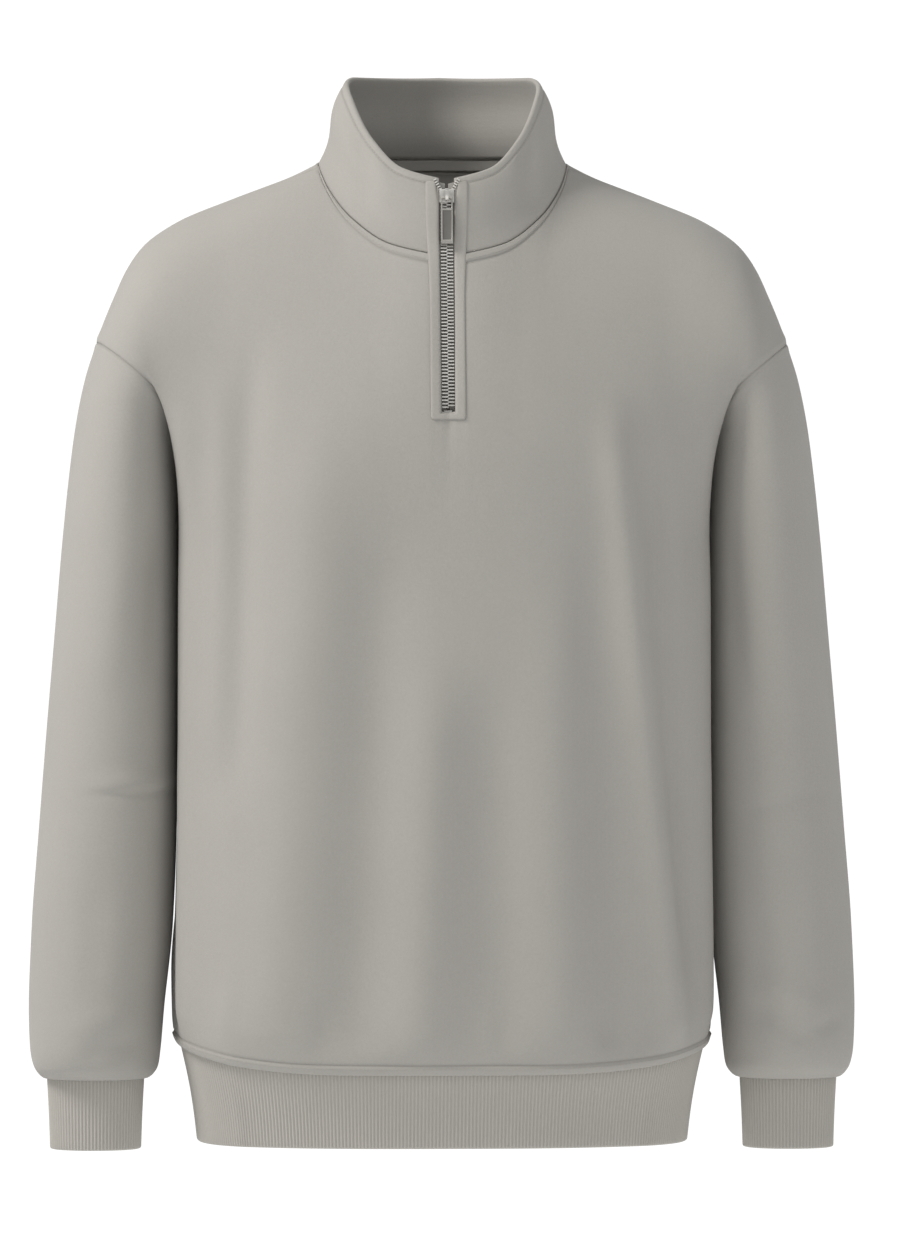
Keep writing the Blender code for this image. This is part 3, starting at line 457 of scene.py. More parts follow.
def whole_panel(places, neck_knots, shares, angles, facing, depth_name, middle_z, table, steps):
    """One panel's grid from side to side, with the steps up its yoke."""
    section_rises = column(BODY_COLUMNS, BODY_SECTIONS, "rise")
    rises = np.interp(ROWS[: YOKE_ROW + 1], np.arange(YOKE_PLACE + 1), section_rises)
    body = body_part(rises, shares, angles, facing, depth_name, middle_z)
    controls = yoke_controls(body[-1], places, crown_points(places, neck_knots), table, facing)
    if steps is None:
        fine = np.linspace(0.0, 1.0, 400)
        slot = np.interp(SLOT_BOTTOM_Z, bezier(controls, fine)[:, 0, 2], fine)
        knots = np.concatenate([np.linspace(0.0, slot, 4), np.linspace(slot, 1.0, 8)[1:]])
        steps = np.interp(ROWS[YOKE_ROW:], np.arange(YOKE_PLACE, TIP_PLACE + 1), knots)
    half = np.concatenate([body, bezier(controls, steps)[1:]])
    near = slice(YOKE_ROW - YOKE_BLEND, YOKE_ROW + YOKE_BLEND + 1)
    weight = 0.25 * np.sin(np.linspace(0.0, math.pi, 2 * YOKE_BLEND + 1))[:, None, None]
    for _ in range(60):
        above = half[near.start + 1 : near.stop + 1]
        below = half[near.start - 1 : near.stop - 1]
        bend = above + below - 2 * half[near]
        bend[:, -1] = 0.0
        half[near] += weight * bend
    return half, steps


def neck_knots_at(half_width):
    """Angles of the neck's places on the front, where a ring has this half width."""
    placket = math.asin(PLACKET_HALF_WIDTH / half_width)
    slot = math.asin(SLOT_HALF_WIDTH / half_width)
    return np.concatenate([[0.0, slot], np.linspace(placket, math.pi / 2, 7)])


placket_share = PLACKET_HALF_WIDTH / HALF_GIRTH
front_knots = np.concatenate([[0.0, SLOT_HALF_WIDTH / HALF_GIRTH], np.linspace(placket_share, 1.0, 18)])
place_numbers = np.arange(TIP_PLACE + 1)
front_shares = np.interp(FRONT_PLACES, place_numbers, front_knots)
angle_knots = ring_angles(front_knots)
angle_knots[1:3] = angle_at_x(np.array([SLOT_HALF_WIDTH, PLACKET_HALF_WIDTH]))
by_placket = np.interp(FRONT_PLACES, place_numbers, angle_knots)
front_angles = np.where(FRONT_PLACES < 2, by_placket, ring_angles(front_shares))
neck_front_knots = neck_knots_at(NECK_HALF_WIDTH)
neck_back_knots = np.linspace(math.pi, math.pi / 2, 9)

half_front, yoke_steps = whole_panel(
    FRONT_PLACES, neck_front_knots, front_shares, front_angles, -1, "front", HEM_FRONT_Z, FRONT_YOKE, None
)
back_shares = BACK_PLACES / TIP_PLACE
half_back, _ = whole_panel(
    BACK_PLACES, neck_back_knots, back_shares, ring_angles(back_shares), 1,
    "back", HEM_BACK_Z, BACK_YOKE, yoke_steps
)
front_points = np.concatenate([mirrored(half_front)[:, :0:-1], half_front], axis=1)
back_points = np.concatenate([half_back[:, ::-1], mirrored(half_back)[:, 1:]], axis=1)
front_across = run_lengths(front_points, 1)[YOKE_ROW // 2]
front_across = (2 * front_across / front_across[-1] - 1) * HALF_GIRTH
back_across = np.concatenate([back_shares[::-1], -back_shares[1:]]) * HALF_GIRTH


def soften_below_corner(points, places):
    """Rounds off the edge that would run down from the corner between the neck and the shoulder seam."""
    near = ease((3.5 - np.abs(np.abs(places) - NECK_PLACE)) / 2.0)[None, :]
    weight = 0.25 * near * ease(to_far_edge(run_lengths(points, 0), 0) / 0.045)
    points = points.copy()
    for _ in range(90):
        bend = points[:, 2:] + points[:, :-2] - 2 * points[:, 1:-1]
        points[:, 1:-1] += weight[:, 1:-1, None] * bend
    return points


def give_folds(points, across, folds, creases):
    """Moves the panel out and in along its normals, and leaves its seams where they are."""
    height = fold_height(across[None, :] + 0 * points[:, :, 0], points[:, :, 2], folds)
    height += crease_height(points, creases)
    side = ease((HALF_GIRTH - np.abs(across)) / 0.02)
    hem = ease((points[:, :, 2] - points[:1, :, 2]) / HEM_FADE)
    top = ease(to_far_edge(run_lengths(points, 0), 0) / 0.012)
    return points + grid_normals(points) * (height * side * hem * top)[:, :, None]


front_places = np.concatenate([-FRONT_PLACES[:0:-1], FRONT_PLACES])
back_places = np.concatenate([BACK_PLACES[::-1], -BACK_PLACES[1:]])
front_points = soften_below_corner(front_points, front_places)
back_points = soften_below_corner(back_points, back_places)
front_points = give_folds(front_points, front_across, FRONT_FOLDS, FRONT_CREASES)
back_points = give_folds(back_points, back_across, BACK_FOLDS, BACK_CREASES)

# ---------------------------------------------------------------- sleeves
# Each sleeve is one piece of the same jersey, sewn into the dropped armhole and closed under the arm. It
# hangs nearly straight and blouses over its cuff, with soft creases at the elbow and above the cuff.

# Rings of the right sleeve: x_in, z_in, x_out, z_out, half_depth, lift, centre_y, from the cuff up.
SLEEVE_RINGS = (
    (0.2155, -0.6635, 0.2885, -0.6635, 0.0325, 0.000, -0.0180),
    (0.2115, -0.6612, 0.2918, -0.6612, 0.0390, 0.000, -0.0180),
    (0.2066, -0.6540, 0.2968, -0.6540, 0.0480, 0.000, -0.0178),
    (0.2046, -0.6400, 0.2995, -0.6400, 0.0530, 0.000, -0.0175),
    (0.2020, -0.6100, 0.3004, -0.6100, 0.0560, 0.000, -0.0165),
    (0.1958, -0.5500, 0.2982, -0.5500, 0.0585, 0.000, -0.0145),
    (0.1930, -0.4800, 0.2930, -0.4800, 0.0620, 0.000, -0.0120),
    (0.1922, -0.4100, 0.2876, -0.4100, 0.0660, 0.000, -0.0095),
    (0.1915, -0.3450, 0.2818, -0.3400, 0.0710, 0.002, -0.0070),
    (0.1915, -0.2950, 0.2765, -0.2760, 0.0755, 0.005, -0.0045),
    (0.1913, -0.2600, 0.2717, -0.2280, 0.0785, 0.010, -0.0025),
    (0.1906, -0.2330, 0.2668, -0.1900, 0.0810, 0.018, -0.0010),
    (0.1885, -0.2130, 0.2600, -0.1560, 0.0822, 0.025, 0.0000),
    (0.1840, -0.2000, 0.2515, -0.1290, 0.0825, 0.030, 0.0000),
)
SLEEVE_ROWS = places_between(
    (1, 4), (2, 6), (3, 6), (4, 9), (5, 16), (6, 18), (7, 34), (8, 17), (9, 16),
    (10, 12), (11, 10), (12, 8), (12.7, 7), (13, 5)
)

# Creases of both sleeves, as seen on the right one: x and z of both ends, width, and height.
RIGHT_SLEEVE_CREASES = (
    (0.204, -0.240, 0.212, -0.400, 0.0080, -0.0020),
    (0.226, -0.255, 0.245, -0.400, 0.0140, 0.0012),
    (0.208, -0.470, 0.286, -0.452, 0.0060, -0.0010),
    (0.212, -0.600, 0.270, -0.640, 0.0080, -0.0022),
    (0.222, -0.585, 0.282, -0.618, 0.0090, 0.0016),
    (0.240, -0.640, 0.298, -0.612, 0.0060, -0.0016),
    (0.228, -0.520, 0.236, -0.630, 0.0110, -0.0012),
)
LEFT_SLEEVE_CREASES = (
    (-0.204, -0.240, -0.213, -0.400, 0.0080, -0.0022),
    (-0.228, -0.255, -0.248, -0.400, 0.0140, 0.0012),
    (-0.165, -0.4470, -0.272, -0.4500, 0.0075, 0.0018),
    (-0.165, -0.4540, -0.272, -0.4570, 0.0032, -0.0014),
    (-0.208, -0.630, -0.272, -0.648, 0.0070, -0.0020),
    (-0.216, -0.612, -0.280, -0.626, 0.0080, 0.0014),
    (-0.250, -0.500, -0.256, -0.620, 0.0120, -0.0012),
)

ring_numbers = np.arange(float(len(SLEEVE_RINGS)))
ring_columns = [smooth_between(SLEEVE_ROWS, ring_numbers, np.array(values)) for values in zip(*SLEEVE_RINGS)]
right_rings = []
for x_in, z_in, x_out, z_out, half_depth, lift, centre_y in zip(*ring_columns):
    inner = np.array([x_in, centre_y, z_in])
    outer = np.array([x_out, centre_y, z_out])
    if len(right_rings) == len(SLEEVE_ROWS) - 1:
        outer[1] = SHOULDER_TIP_Y
    halves = []
    for facing in (-1, 1):
        controls = half_ring_controls(inner, outer, half_depth, lift, facing)
        halves.append(bezier([point[None] for point in controls], yoke_steps)[:, 0])
    right_rings.append(np.concatenate([halves[0], halves[1][-2:0:-1]]))
right_points = np.array(right_rings)
left_points = mirrored(right_points)[:, np.r_[0, right_points.shape[1] - 1 : 0 : -1]]


def give_sleeve_folds(points, creases):
    normals = grid_normals(points, ring=True)
    lengths = run_lengths(points, 0)
    ends = ease(lengths / 0.010) * ease(to_far_edge(lengths, 0) / 0.020)
    facing = 0.35 + 0.65 * ease(-normals[:, :, 1] * 1.5)
    return points + normals * (crease_height(points, creases) * ends * facing)[:, :, None]


right_points = give_sleeve_folds(right_points, RIGHT_SLEEVE_CREASES)
left_points = give_sleeve_folds(left_points, LEFT_SLEEVE_CREASES)

# ---------------------------------------------------------------- collar form
# The stand collar is one strip of the jersey folded double along its top edge, so its edge is a soft roll.
# It leans in a little towards the top and its front edges run into the zip.

COLLAR_TOP_HALF_WIDTH = 0.0715
COLLAR_TOP_CENTRE_Y = -0.0230
COLLAR_TOP_HALF_DEPTH = 0.0750
COLLAR_FLARE = 0.12
COLLAR_THICKNESS = 0.0039
COLLAR_ROWS = places_between((0.12, 10), (0.85, 24), (1.0, 9))


def collar_top(angles):
    x = COLLAR_TOP_HALF_WIDTH * np.sin(angles)
    y = COLLAR_TOP_CENTRE_Y - COLLAR_TOP_HALF_DEPTH * np.cos(angles)
    return np.stack([x, y, read(NECK_COLUMNS, NECK_HEIGHTS, "top_z", np.degrees(angles))], axis=1)


def neck_ring_angles(half_width):
    """Angles of the collar's columns from the middle of the front round to the middle of the back."""
    numbers = np.arange(NECK_PLACE + 1)
    front = np.interp(FRONT_PLACES[FRONT_PLACES <= NECK_PLACE], numbers, neck_knots_at(half_width))
    back = np.interp(BACK_PLACES[BACK_PLACES <= NECK_PLACE], numbers, neck_back_knots)
    return np.concatenate([front, back[-2::-1]])


collar_seam_line = neck_seam(neck_ring_angles(NECK_HALF_WIDTH))
collar_top_line = collar_top(neck_ring_angles(COLLAR_TOP_HALF_WIDTH))
collar_rows = []
for rise in COLLAR_ROWS:
    inward = rise + COLLAR_FLARE * math.sin(2 * math.pi * rise)
    row = collar_seam_line + (collar_top_line - collar_seam_line) * np.array([inward, inward, rise])
    collar_rows.append(np.concatenate([row, mirrored(row)[-2:0:-1]]))
collar_points = np.array(collar_rows)

# ---------------------------------------------------------------- seams and cloth
# Pieces that meet at a seam turn in together along it. Seam allowances are sewn down flat beside the
# collar's seam and above the hem band, and show there as raised strips.

NECK_STRIP = 0.0068
HEM_STRIP = 0.0078

forms = {
    "front": [front_points, grid_normals(front_points)],
    "back": [back_points, grid_normals(back_points)],
    "sleeve_right": [right_points, grid_normals(right_points, ring=True)],
    "sleeve_left": [left_points, grid_normals(left_points, ring=True)],
    "collar": [collar_points, grid_normals(collar_points, ring=True)],
}
together = {}
for points, normals in forms.values():
    for key, normal in zip(map(tuple, np.round(points, 5).reshape(-1, 3)), normals.reshape(-1, 3)):
        together[key] = together.get(key, 0.0) + normal
for form in forms.values():
    keys = map(tuple, np.round(form[0], 5).reshape(-1, 3))
    form[1] = unit(np.array([together[key] for key in keys])).reshape(form[0].shape)


def panel_seams(points, crown_places):
    """Heights that shape a panel's seams."""
    up = run_lengths(points, 0)
    over = run_lengths(points, 1)
    neck = (np.abs(crown_places) <= NECK_PLACE)[None, :]
    top = to_far_edge(up, 0)
    side = np.minimum(over, to_far_edge(over, 1))
    strip = stitched_strip(top, NECK_STRIP, 0.0009)
    beside = ease((9.5 - np.abs(crown_places)) / 1.5)[None, :]
    height = np.where(neck, strip, beside * strip + (1 - beside) * pinch(top))
    height = height + pinch(side, 0.0005) * (1 - ease((0.004 - top) / 0.004)) * ease(up / 0.004)
    height += stitched_strip(up, HEM_STRIP, 0.0011)
    return height


seam_heights = {
    "front": panel_seams(front_points, front_places),
    "back": panel_seams(back_points, back_places),
}
for name in ("sleeve_right", "sleeve_left"):
    lengths = run_lengths(forms[name][0], 0)
    seam_heights[name] = pinch(to_far_edge(lengths, 0)) - 0.0008 * np.exp(-((lengths / 0.0010) ** 2))


def new_finish(name):
    """A plain material, with its nodes, links and shader."""
    made = bpy.data.materials.new(name)
    made.use_nodes = True
    nodes = made.node_tree.nodes
    return made, nodes, made.node_tree.links, nodes["Principled BSDF"]


def raise_grain(made, height, strength, depth):
    """Grain on the surface, from a pattern's height."""
    bump = made.node_tree.nodes.new("ShaderNodeBump")
    bump.inputs["Strength"].default_value = strength
    bump.inputs["Distance"].default_value = depth
    made.node_tree.links.new(height, bump.inputs["Height"])
    made.node_tree.links.new(bump.outputs["Normal"], made.node_tree.nodes["Principled BSDF"].inputs["Normal"])


def tint_between(made, dark, light, tone):
    """A colour from dark to light, by a pattern's tone."""
    tint = made.node_tree.nodes.new("ShaderNodeMix")
    tint.data_type = "RGBA"
    tint.inputs["A"].default_value = dark
    tint.inputs["B"].default_value = light
    made.node_tree.links.new(tone, tint.inputs["Factor"])
    return tint.outputs["Result"]


def cloth_material(name, light, dark, wale, course, bump_depth):
    """Fine jersey: rows of small v-shaped stitches under a short soft nap, with a faint heather, and painted
    shade darkening its seams and grooves.
    """
    made, nodes, links, shader = new_finish(name)

    def maths(operation, first, second=None):
        node = nodes.new("ShaderNodeMath")
        node.operation = operation
        for socket, value in zip(node.inputs, (first, second)):
            if isinstance(value, (int, float)):
                socket.default_value = value
            elif value is not None:
                links.new(value, socket)
        return node.outputs[0]

    def noise(scale, detail, vector):
        node = nodes.new("ShaderNodeTexNoise")
        node.inputs["Scale"].default_value = scale
        node.inputs["Detail"].default_value = detail
        links.new(vector, node.inputs["Vector"])
        return node.outputs["Fac"]

    uv = nodes.new("ShaderNodeUVMap")
    uv.uv_map = "cut"
    place = nodes.new("ShaderNodeTexCoord")
    split = nodes.new("ShaderNodeSeparateXYZ")
    links.new(uv.outputs["UV"], split.inputs["Vector"])
    wales = maths("FRACT", maths("MULTIPLY", split.outputs["X"], 1 / wale))
    from_middle = maths("ABSOLUTE", maths("SUBTRACT", wales, 0.5))
    off_leg = maths("ABSOLUTE", maths("SUBTRACT", from_middle, 0.25))
    leg = maths("SUBTRACT", 1.0, maths("MULTIPLY", off_leg, 4.0))
    courses = maths("MULTIPLY", split.outputs["Y"], 1 / course)
    slant = maths("SUBTRACT", courses, maths("MULTIPLY", from_middle, 1.4))
    wave = maths("SINE", maths("MULTIPLY", slant, 2 * math.pi))
    loop = maths("ADD", maths("MULTIPLY", wave, 0.35), 0.65)
    stitch = maths("MULTIPLY", leg, loop)
    nap = noise(700.0, 4.0, place.outputs["Object"])
    blotch = noise(14.0, 3.0, place.outputs["Object"])
    surface = maths("ADD", maths("MULTIPLY", stitch, 0.55), maths("MULTIPLY", nap, 0.9))

    raise_grain(made, surface, 0.55, bump_depth)
    speckle = maths("ADD", maths("MULTIPLY", stitch, 0.2), maths("MULTIPLY", blotch, 0.3))
    tone = maths("ADD", maths("MULTIPLY", nap, 0.55), speckle)
    yarn = tint_between(made, dark, light, tone)
    # Painted shade: the colour mixes towards a much darker tint where the grid's vertex attribute says the
    # cloth sinks in a seam or groove.
    groove_shade = nodes.new("ShaderNodeAttribute")
    groove_shade.attribute_name = "groove_shade"
    seam = nodes.new("ShaderNodeMix")
    seam.data_type = "RGBA"
    seam.inputs["B"].default_value = (dark[0] * 0.45, dark[1] * 0.44, dark[2] * 0.42, 1.0)
    links.new(yarn, seam.inputs["A"])
    links.new(groove_shade.outputs["Fac"], seam.inputs["Factor"])
    links.new(seam.outputs["Result"], shader.inputs["Base Color"])
    shader.inputs["Roughness"].default_value = 0.92
    shader.inputs["Specular IOR Level"].default_value = 0.2
    shader.inputs["Sheen Weight"].default_value = 0.12
    shader.inputs["Sheen Roughness"].default_value = 0.5
    return made


STONE_LIGHT = (0.445, 0.428, 0.395, 1.0)
STONE_DARK = (0.335, 0.322, 0.296, 1.0)
jersey = cloth_material("fleece_jersey", STONE_LIGHT, STONE_DARK, 0.0011, 0.0009, 0.00035)


def lay_cloth(name, points, heights, normals, made_of, across, up, ring=False, left_out=None):
    """A flat grid laid on the form. Its UV map is the cut piece in metres, and a vertex attribute holds
    painted shade for its seams and grooves, darker where the heights sink below the form.
    """
    shape = bmesh.new()
    placed = points + normals * heights[:, :, None]
    if ring:
        placed = np.concatenate([placed, placed[:, :1]], axis=1)
        heights = np.concatenate([heights, heights[:, :1]], axis=1)
    rows, cols = placed.shape[:2]
    bmesh.ops.create_grid(shape, x_segments=cols - 1, y_segments=rows - 1, size=1.0)
    shape.verts.ensure_lookup_table()
    uv_map = shape.loops.layers.uv.new("cut")
    # Painted shade for the seams and grooves, from how deep the heights sink.
    groove_shade = shape.verts.layers.float.new("groove_shade")
    shade = np.clip(-heights / 0.0024, 0.0, 1.0)
    for index, vert in enumerate(shape.verts):
        i, j = divmod(index, cols)
        vert.co = placed[i, j]
        vert[groove_shade] = shade[i, j]
    for face in shape.faces:
        for loop in face.loops:
            i, j = divmod(loop.vert.index, cols)
            loop[uv_map].uv = (across[i, j], up[i, j])
    if left_out is not None:
        gone = []
        for face in shape.faces:
            row = min(vert.index for vert in face.verts) // cols
            if left_out(face.calc_center_median(), row):
                gone.append(face)
        bmesh.ops.delete(shape, geom=gone, context="FACES")
    if ring:
        bmesh.ops.remove_doubles(shape, verts=shape.verts, dist=0.00001)
    made = finished_piece(name, shape, made_of)
    made.data.shade_smooth()
    return made


def thicken(piece, thickness):
    wall = piece.modifiers.new("thickness", "SOLIDIFY")
    wall.thickness = thickness
    wall.offset = -1.0


def in_slot(centre, row):
    return abs(centre.x) < SLOT_HALF_WIDTH and row >= SLOT_ROW


for name, across, left_out in (("front", front_across, in_slot), ("back", back_across, None)):
    points, normals = forms[name]
    up = run_lengths(points, 0)
    wide = across[None, :] + 0 * up
    panel = lay_cloth(
        name + "_panel", points, seam_heights[name], normals, jersey, wide, up, left_out=left_out
    )
    thicken(panel, CLOTH)
    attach(panel, "garment")
    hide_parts(name)

for name in ("sleeve_right", "sleeve_left"):
    points, normals = forms[name]
    closed = np.concatenate([points, points[:, :1]], axis=1)
    up = run_lengths(closed, 0)
    wide = run_lengths(closed, 1)
    sleeve = lay_cloth(name + "_tube", points, seam_heights[name], normals, jersey, wide, up, ring=True)
    thicken(sleeve, CLOTH)
    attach(sleeve, "garment")
    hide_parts(name)

# ---------------------------------------------------------------- collar
# The folded collar: out from its seam, over the roll at the top and down inside to the neck tape. A row of
# stitching runs close under the roll.

COLLAR_INNER_END = 0.07
COLLAR_STITCH_DROP = 0.0042

collar_normals = forms["collar"][1]
up = run_lengths(collar_points, 0)
top = to_far_edge(up, 0)
swell = 0.0006 * np.sin(np.pi * np.clip(COLLAR_ROWS, 0.0, 1.0))[:, None]
edge_groove = -0.0006 * np.exp(-(((top - COLLAR_STITCH_DROP) / 0.0008) ** 2))
seam_pinch = -0.0006 * np.exp(-((up / 0.0008) ** 2))
COLLAR_CREASES = (
    (-0.064, 0.030, -0.052, -0.045, 0.0070, -0.0024),
    (-0.050, 0.010, -0.040, -0.040, 0.0080, 0.0015),
    (0.062, 0.030, 0.056, -0.045, 0.0060, -0.0027),
    (0.070, 0.020, 0.067, -0.030, 0.0050, 0.0018),
)
front_side = ease(-collar_normals[:, :, 1] * 3)
creases = crease_height(collar_points, COLLAR_CREASES) * front_side * ease(top / 0.012) * ease(up / 0.010)
collar_heights = swell + edge_groove + seam_pinch + creases
outer = collar_points + collar_normals * collar_heights[:, :, None]
roll_axis = outer[-1] - collar_normals[-1] * COLLAR_THICKNESS / 2
roll_up = unit(outer[-1] - outer[-2])
roll = []
for angle in np.linspace(0.0, math.pi, 8)[1:-1]:
    reach = math.cos(angle) * collar_normals[-1] + math.sin(angle) * roll_up
    roll.append(roll_axis + reach * COLLAR_THICKNESS / 2)
inner_places = np.linspace(1.0, COLLAR_INNER_END, 22)
inner = []
for place in inner_places:
    nearest = int(np.argmin(np.abs(COLLAR_ROWS - place)))
    inner.append(collar_points[nearest] - collar_normals[nearest] * COLLAR_THICKNESS)
folded = np.concatenate([outer, np.array(roll), np.array(inner)])
first = int(np.argmin(np.abs(FRONT_PLACES - 1)))
opened = slice(first, folded.shape[1] - first + 1)
folded = folded[:, opened]
# Painted shade for the groove under the roll and for the pinch at the seam: the normals are zero, so these
# values only darken the colour.
shade_marks = np.zeros(folded.shape[:2])
shade_marks[: len(outer)] = (edge_groove + seam_pinch)[:, opened]
unmoved = np.zeros(folded.shape)
wide = run_lengths(folded, 1)
collar = lay_cloth("collar_fold", folded, shade_marks, unmoved, jersey, wide, run_lengths(folded, 0))
thicken(collar, CLOTH)
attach(collar, "garment")
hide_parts("collar_outer", "collar_inner")

# ---------------------------------------------------------------- hem band and cuffs
# The hem band and the cuffs are fine rib, folded double along the bottom edge and sewn under the jersey, so
# the body and the sleeves blouse a little over them.

RIB_HEIGHT = 0.0009
RIB_FOLD = 0.0030
RIB_POINTS = 6
SEAM_LAP = 0.0060
RIB_LIGHT = (0.520, 0.499, 0.459, 1.0)
RIB_DARK = (0.400, 0.384, 0.351, 1.0)
rib_knit = cloth_material("rib_knit", RIB_LIGHT, RIB_DARK, 0.0013, 0.0011, 0.00030)


def distance_along(line):
    return np.concatenate([[0.0], np.cumsum(np.linalg.norm(np.diff(line, axis=0), axis=1))])


def add_rib_band(name, node, edge, normals, ribs, bottom_z, taper):
    """Rows run down the inside, round the fold, up the ribbed outside and over the sewn edge."""
    outward = unit(normals * np.array([1.0, 1.0, 0.0]))
    start = edge - normals * CLOTH - outward * 0.0003
    start[:, 2] = edge[:, 2]
    closed_line = np.concatenate([np.concatenate([start, outward], axis=1)] * 2)[: len(start) + 1]
    travelled = distance_along(closed_line[:, :3])
    places = np.linspace(0.0, travelled[-1], ribs * RIB_POINTS + 1)[:-1]
    fine = np.stack([np.interp(places, travelled, closed_line[:, k]) for k in range(6)], axis=1)
    ring = fine[:, :3]
    out = unit(fine[:, 3:])
    rib = RIB_HEIGHT * (0.5 - 0.5 * np.cos(2 * math.pi * np.arange(len(ring)) / RIB_POINTS))

    def row(height, depth, ribbed):
        """Points at a height above the bottom edge and a depth behind the crests, and painted shade for the
        valleys between the ribs.
        """
        z = bottom_z + height * np.ones(len(ring))
        drop = np.clip((ring[:, 2] - z) / (ring[:, 2] - bottom_z), 0.0, 1.0)
        inset = depth + rib * ribbed + taper * (drop + 0.12 * np.sin(math.pi * drop))
        made = ring - out * inset[:, None]
        made[:, 2] = z
        # The second value is painted shade, darkest in the valleys between the ribs.
        return made, -0.00045 * ribbed * rib / RIB_HEIGHT

    radius = RIB_FOLD / 2
    full = ring[:, 2] + SEAM_LAP - bottom_z
    rows = [row(full * share, RIB_FOLD, 0.0) for share in (1.0, 0.7, 0.4, 0.1)]
    for angle in np.linspace(0.0, math.pi, 7):
        ribbed = 0.5 - 0.5 * math.cos(angle)
        rows.append(row(radius - radius * math.sin(angle), radius + radius * math.cos(angle), ribbed))
    rows += [row(radius + (full - radius) * share, 0.0, 1.0) for share in np.linspace(0.0, 1.0, 12)[1:]]
    rows.append(rows[0])
    points = np.array([made for made, _ in rows])
    shade_marks = np.array([shade_mark for _, shade_mark in rows])
    across = np.broadcast_to(np.append(places, travelled[-1]), (len(rows), len(places) + 1))
    up = np.concatenate([points, points[:, :1]], axis=1)[:, :, 2]
    band = lay_cloth(name, points, shade_marks, np.zeros(points.shape), rib_knit, across, up, ring=True)
    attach(band, "garment")
    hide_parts(node)


hem_edge = np.concatenate([front_points[0, :-1], back_points[0, :-1]])
hem_normals = np.concatenate([forms["front"][1][0, :-1], forms["back"][1][0, :-1]])
add_rib_band("hem_rib", "hem_band", hem_edge, hem_normals, 400, -0.7085, 0.0125)
for side in ("right", "left"):
    points, normals = forms["sleeve_" + side]
    add_rib_band(
        "cuff_rib_" + side, "cuff_" + side, points[0], normals[0], 80, -0.7140, 0.0022
    )

# ---------------------------------------------------------------- neck tape
# A twill tape covers the seam inside the back of the neck, from one shoulder seam to the other.

TAPE_BELOW_SEAM = 0.0046
TAPE_ABOVE_SEAM = 0.0042
TAPE_DEPTH = 0.0024


def twill_material(name, colour, slope):
    """Plain twill: fine slanting ridges across the tape."""
    made, nodes, links, shader = new_finish(name)
    place = nodes.new("ShaderNodeTexCoord")
    turn = nodes.new("ShaderNodeMapping")
    turn.inputs["Rotation"].default_value = slope
    ridges = nodes.new("ShaderNodeTexWave")
    ridges.inputs["Scale"].default_value = 420.0
    ridges.inputs["Distortion"].default_value = 0.6
    links.new(place.outputs["Object"], turn.inputs["Vector"])
    links.new(turn.outputs["Vector"], ridges.inputs["Vector"])
    shadow = (colour[0] * 0.78, colour[1] * 0.78, colour[2] * 0.78, 1.0)
    links.new(tint_between(made, shadow, colour, ridges.outputs["Fac"]), shader.inputs["Base Color"])
    raise_grain(made, ridges.outputs["Fac"], 0.5, 0.0002)
    shader.inputs["Roughness"].default_value = 0.85
    return made


def line_at(grid, lengths, distance):
    """One point for each column of a grid, at a distance along the column."""
    columns = range(grid.shape[1])
    return np.array([[np.interp(distance, lengths[:, j], grid[:, j, k]) for k in range(3)] for j in columns])


def tape_row(grid, way, runs, distance):
    """Points inside the cloth, at a distance up or down from the seam."""
    return line_at(grid, runs, distance) - unit(line_at(way, runs, distance)) * TAPE_DEPTH


neck_steps = int(np.sum(BACK_PLACES <= NECK_PLACE)) - 1
over_neck = slice(len(BACK_PLACES) - 1 - neck_steps, len(BACK_PLACES) + neck_steps)
back_grid = back_points[:, over_neck]
back_way = forms["back"][1][:, over_neck]
back_runs = -to_far_edge(run_lengths(back_grid, 0), 0)
count = back_grid.shape[1]
start = int(np.sum(FRONT_PLACES <= NECK_PLACE)) - 1
collar_grid = collar_points[:, start : start + count]
collar_way = collar_normals[:, start : start + count]
collar_runs = run_lengths(collar_grid, 0)
tape_rows = []
for distance in np.linspace(-TAPE_BELOW_SEAM, 0.0, 5):
    tape_rows.append(tape_row(back_grid, back_way, back_runs, distance))
for distance in np.linspace(0.0, TAPE_ABOVE_SEAM, 5)[1:]:
    tape_rows.append(tape_row(collar_grid, collar_way, collar_runs, distance))
tape_points = np.array(tape_rows)
# The tape's colour is set pale: painted light that lifts the shade falling on it inside the neck.
twill = twill_material("twill_tape", (0.52, 0.502, 0.463, 1.0), (0.0, 0.6, 0.5))
flat_marks = np.zeros(tape_points.shape[:2])
wide = run_lengths(tape_points, 1)
up = run_lengths(tape_points, 0)
tape = lay_cloth("neck_tape_twill", tape_points, flat_marks, tape_points, twill, wide, up)
thicken(tape, 0.0010)
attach(tape, "garment")
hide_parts("neck_tape")

# ---------------------------------------------------------------- zip placket
# A narrow strip of jersey frames the zip on the outside, folded under along both edges, with a short bar
# across the bottom. It lies over the body and the collar.

PLACKET_LOW = -0.0052
PLACKET_STAND = 0.0014
BELOW_SLOT = 12

centre_column = len(front_places) // 2
beside_zip = 14
zip_columns = slice(centre_column - beside_zip, centre_column + beside_zip + 1)
around_zip = list(range(-beside_zip, beside_zip + 1))
zip_panel = (slice(SLOT_ROW - BELOW_SLOT, None), zip_columns)
zip_rows = np.concatenate([front_points[zip_panel], collar_points[1:, around_zip]])
zip_ways = np.concatenate([forms["front"][1][zip_panel], collar_normals[1:, around_zip]])
zip_run = run_lengths(zip_rows, 0)[:, beside_zip]
zip_run = zip_run - zip_run[BELOW_SLOT]
ZIP_TOP = float(zip_run[-1])


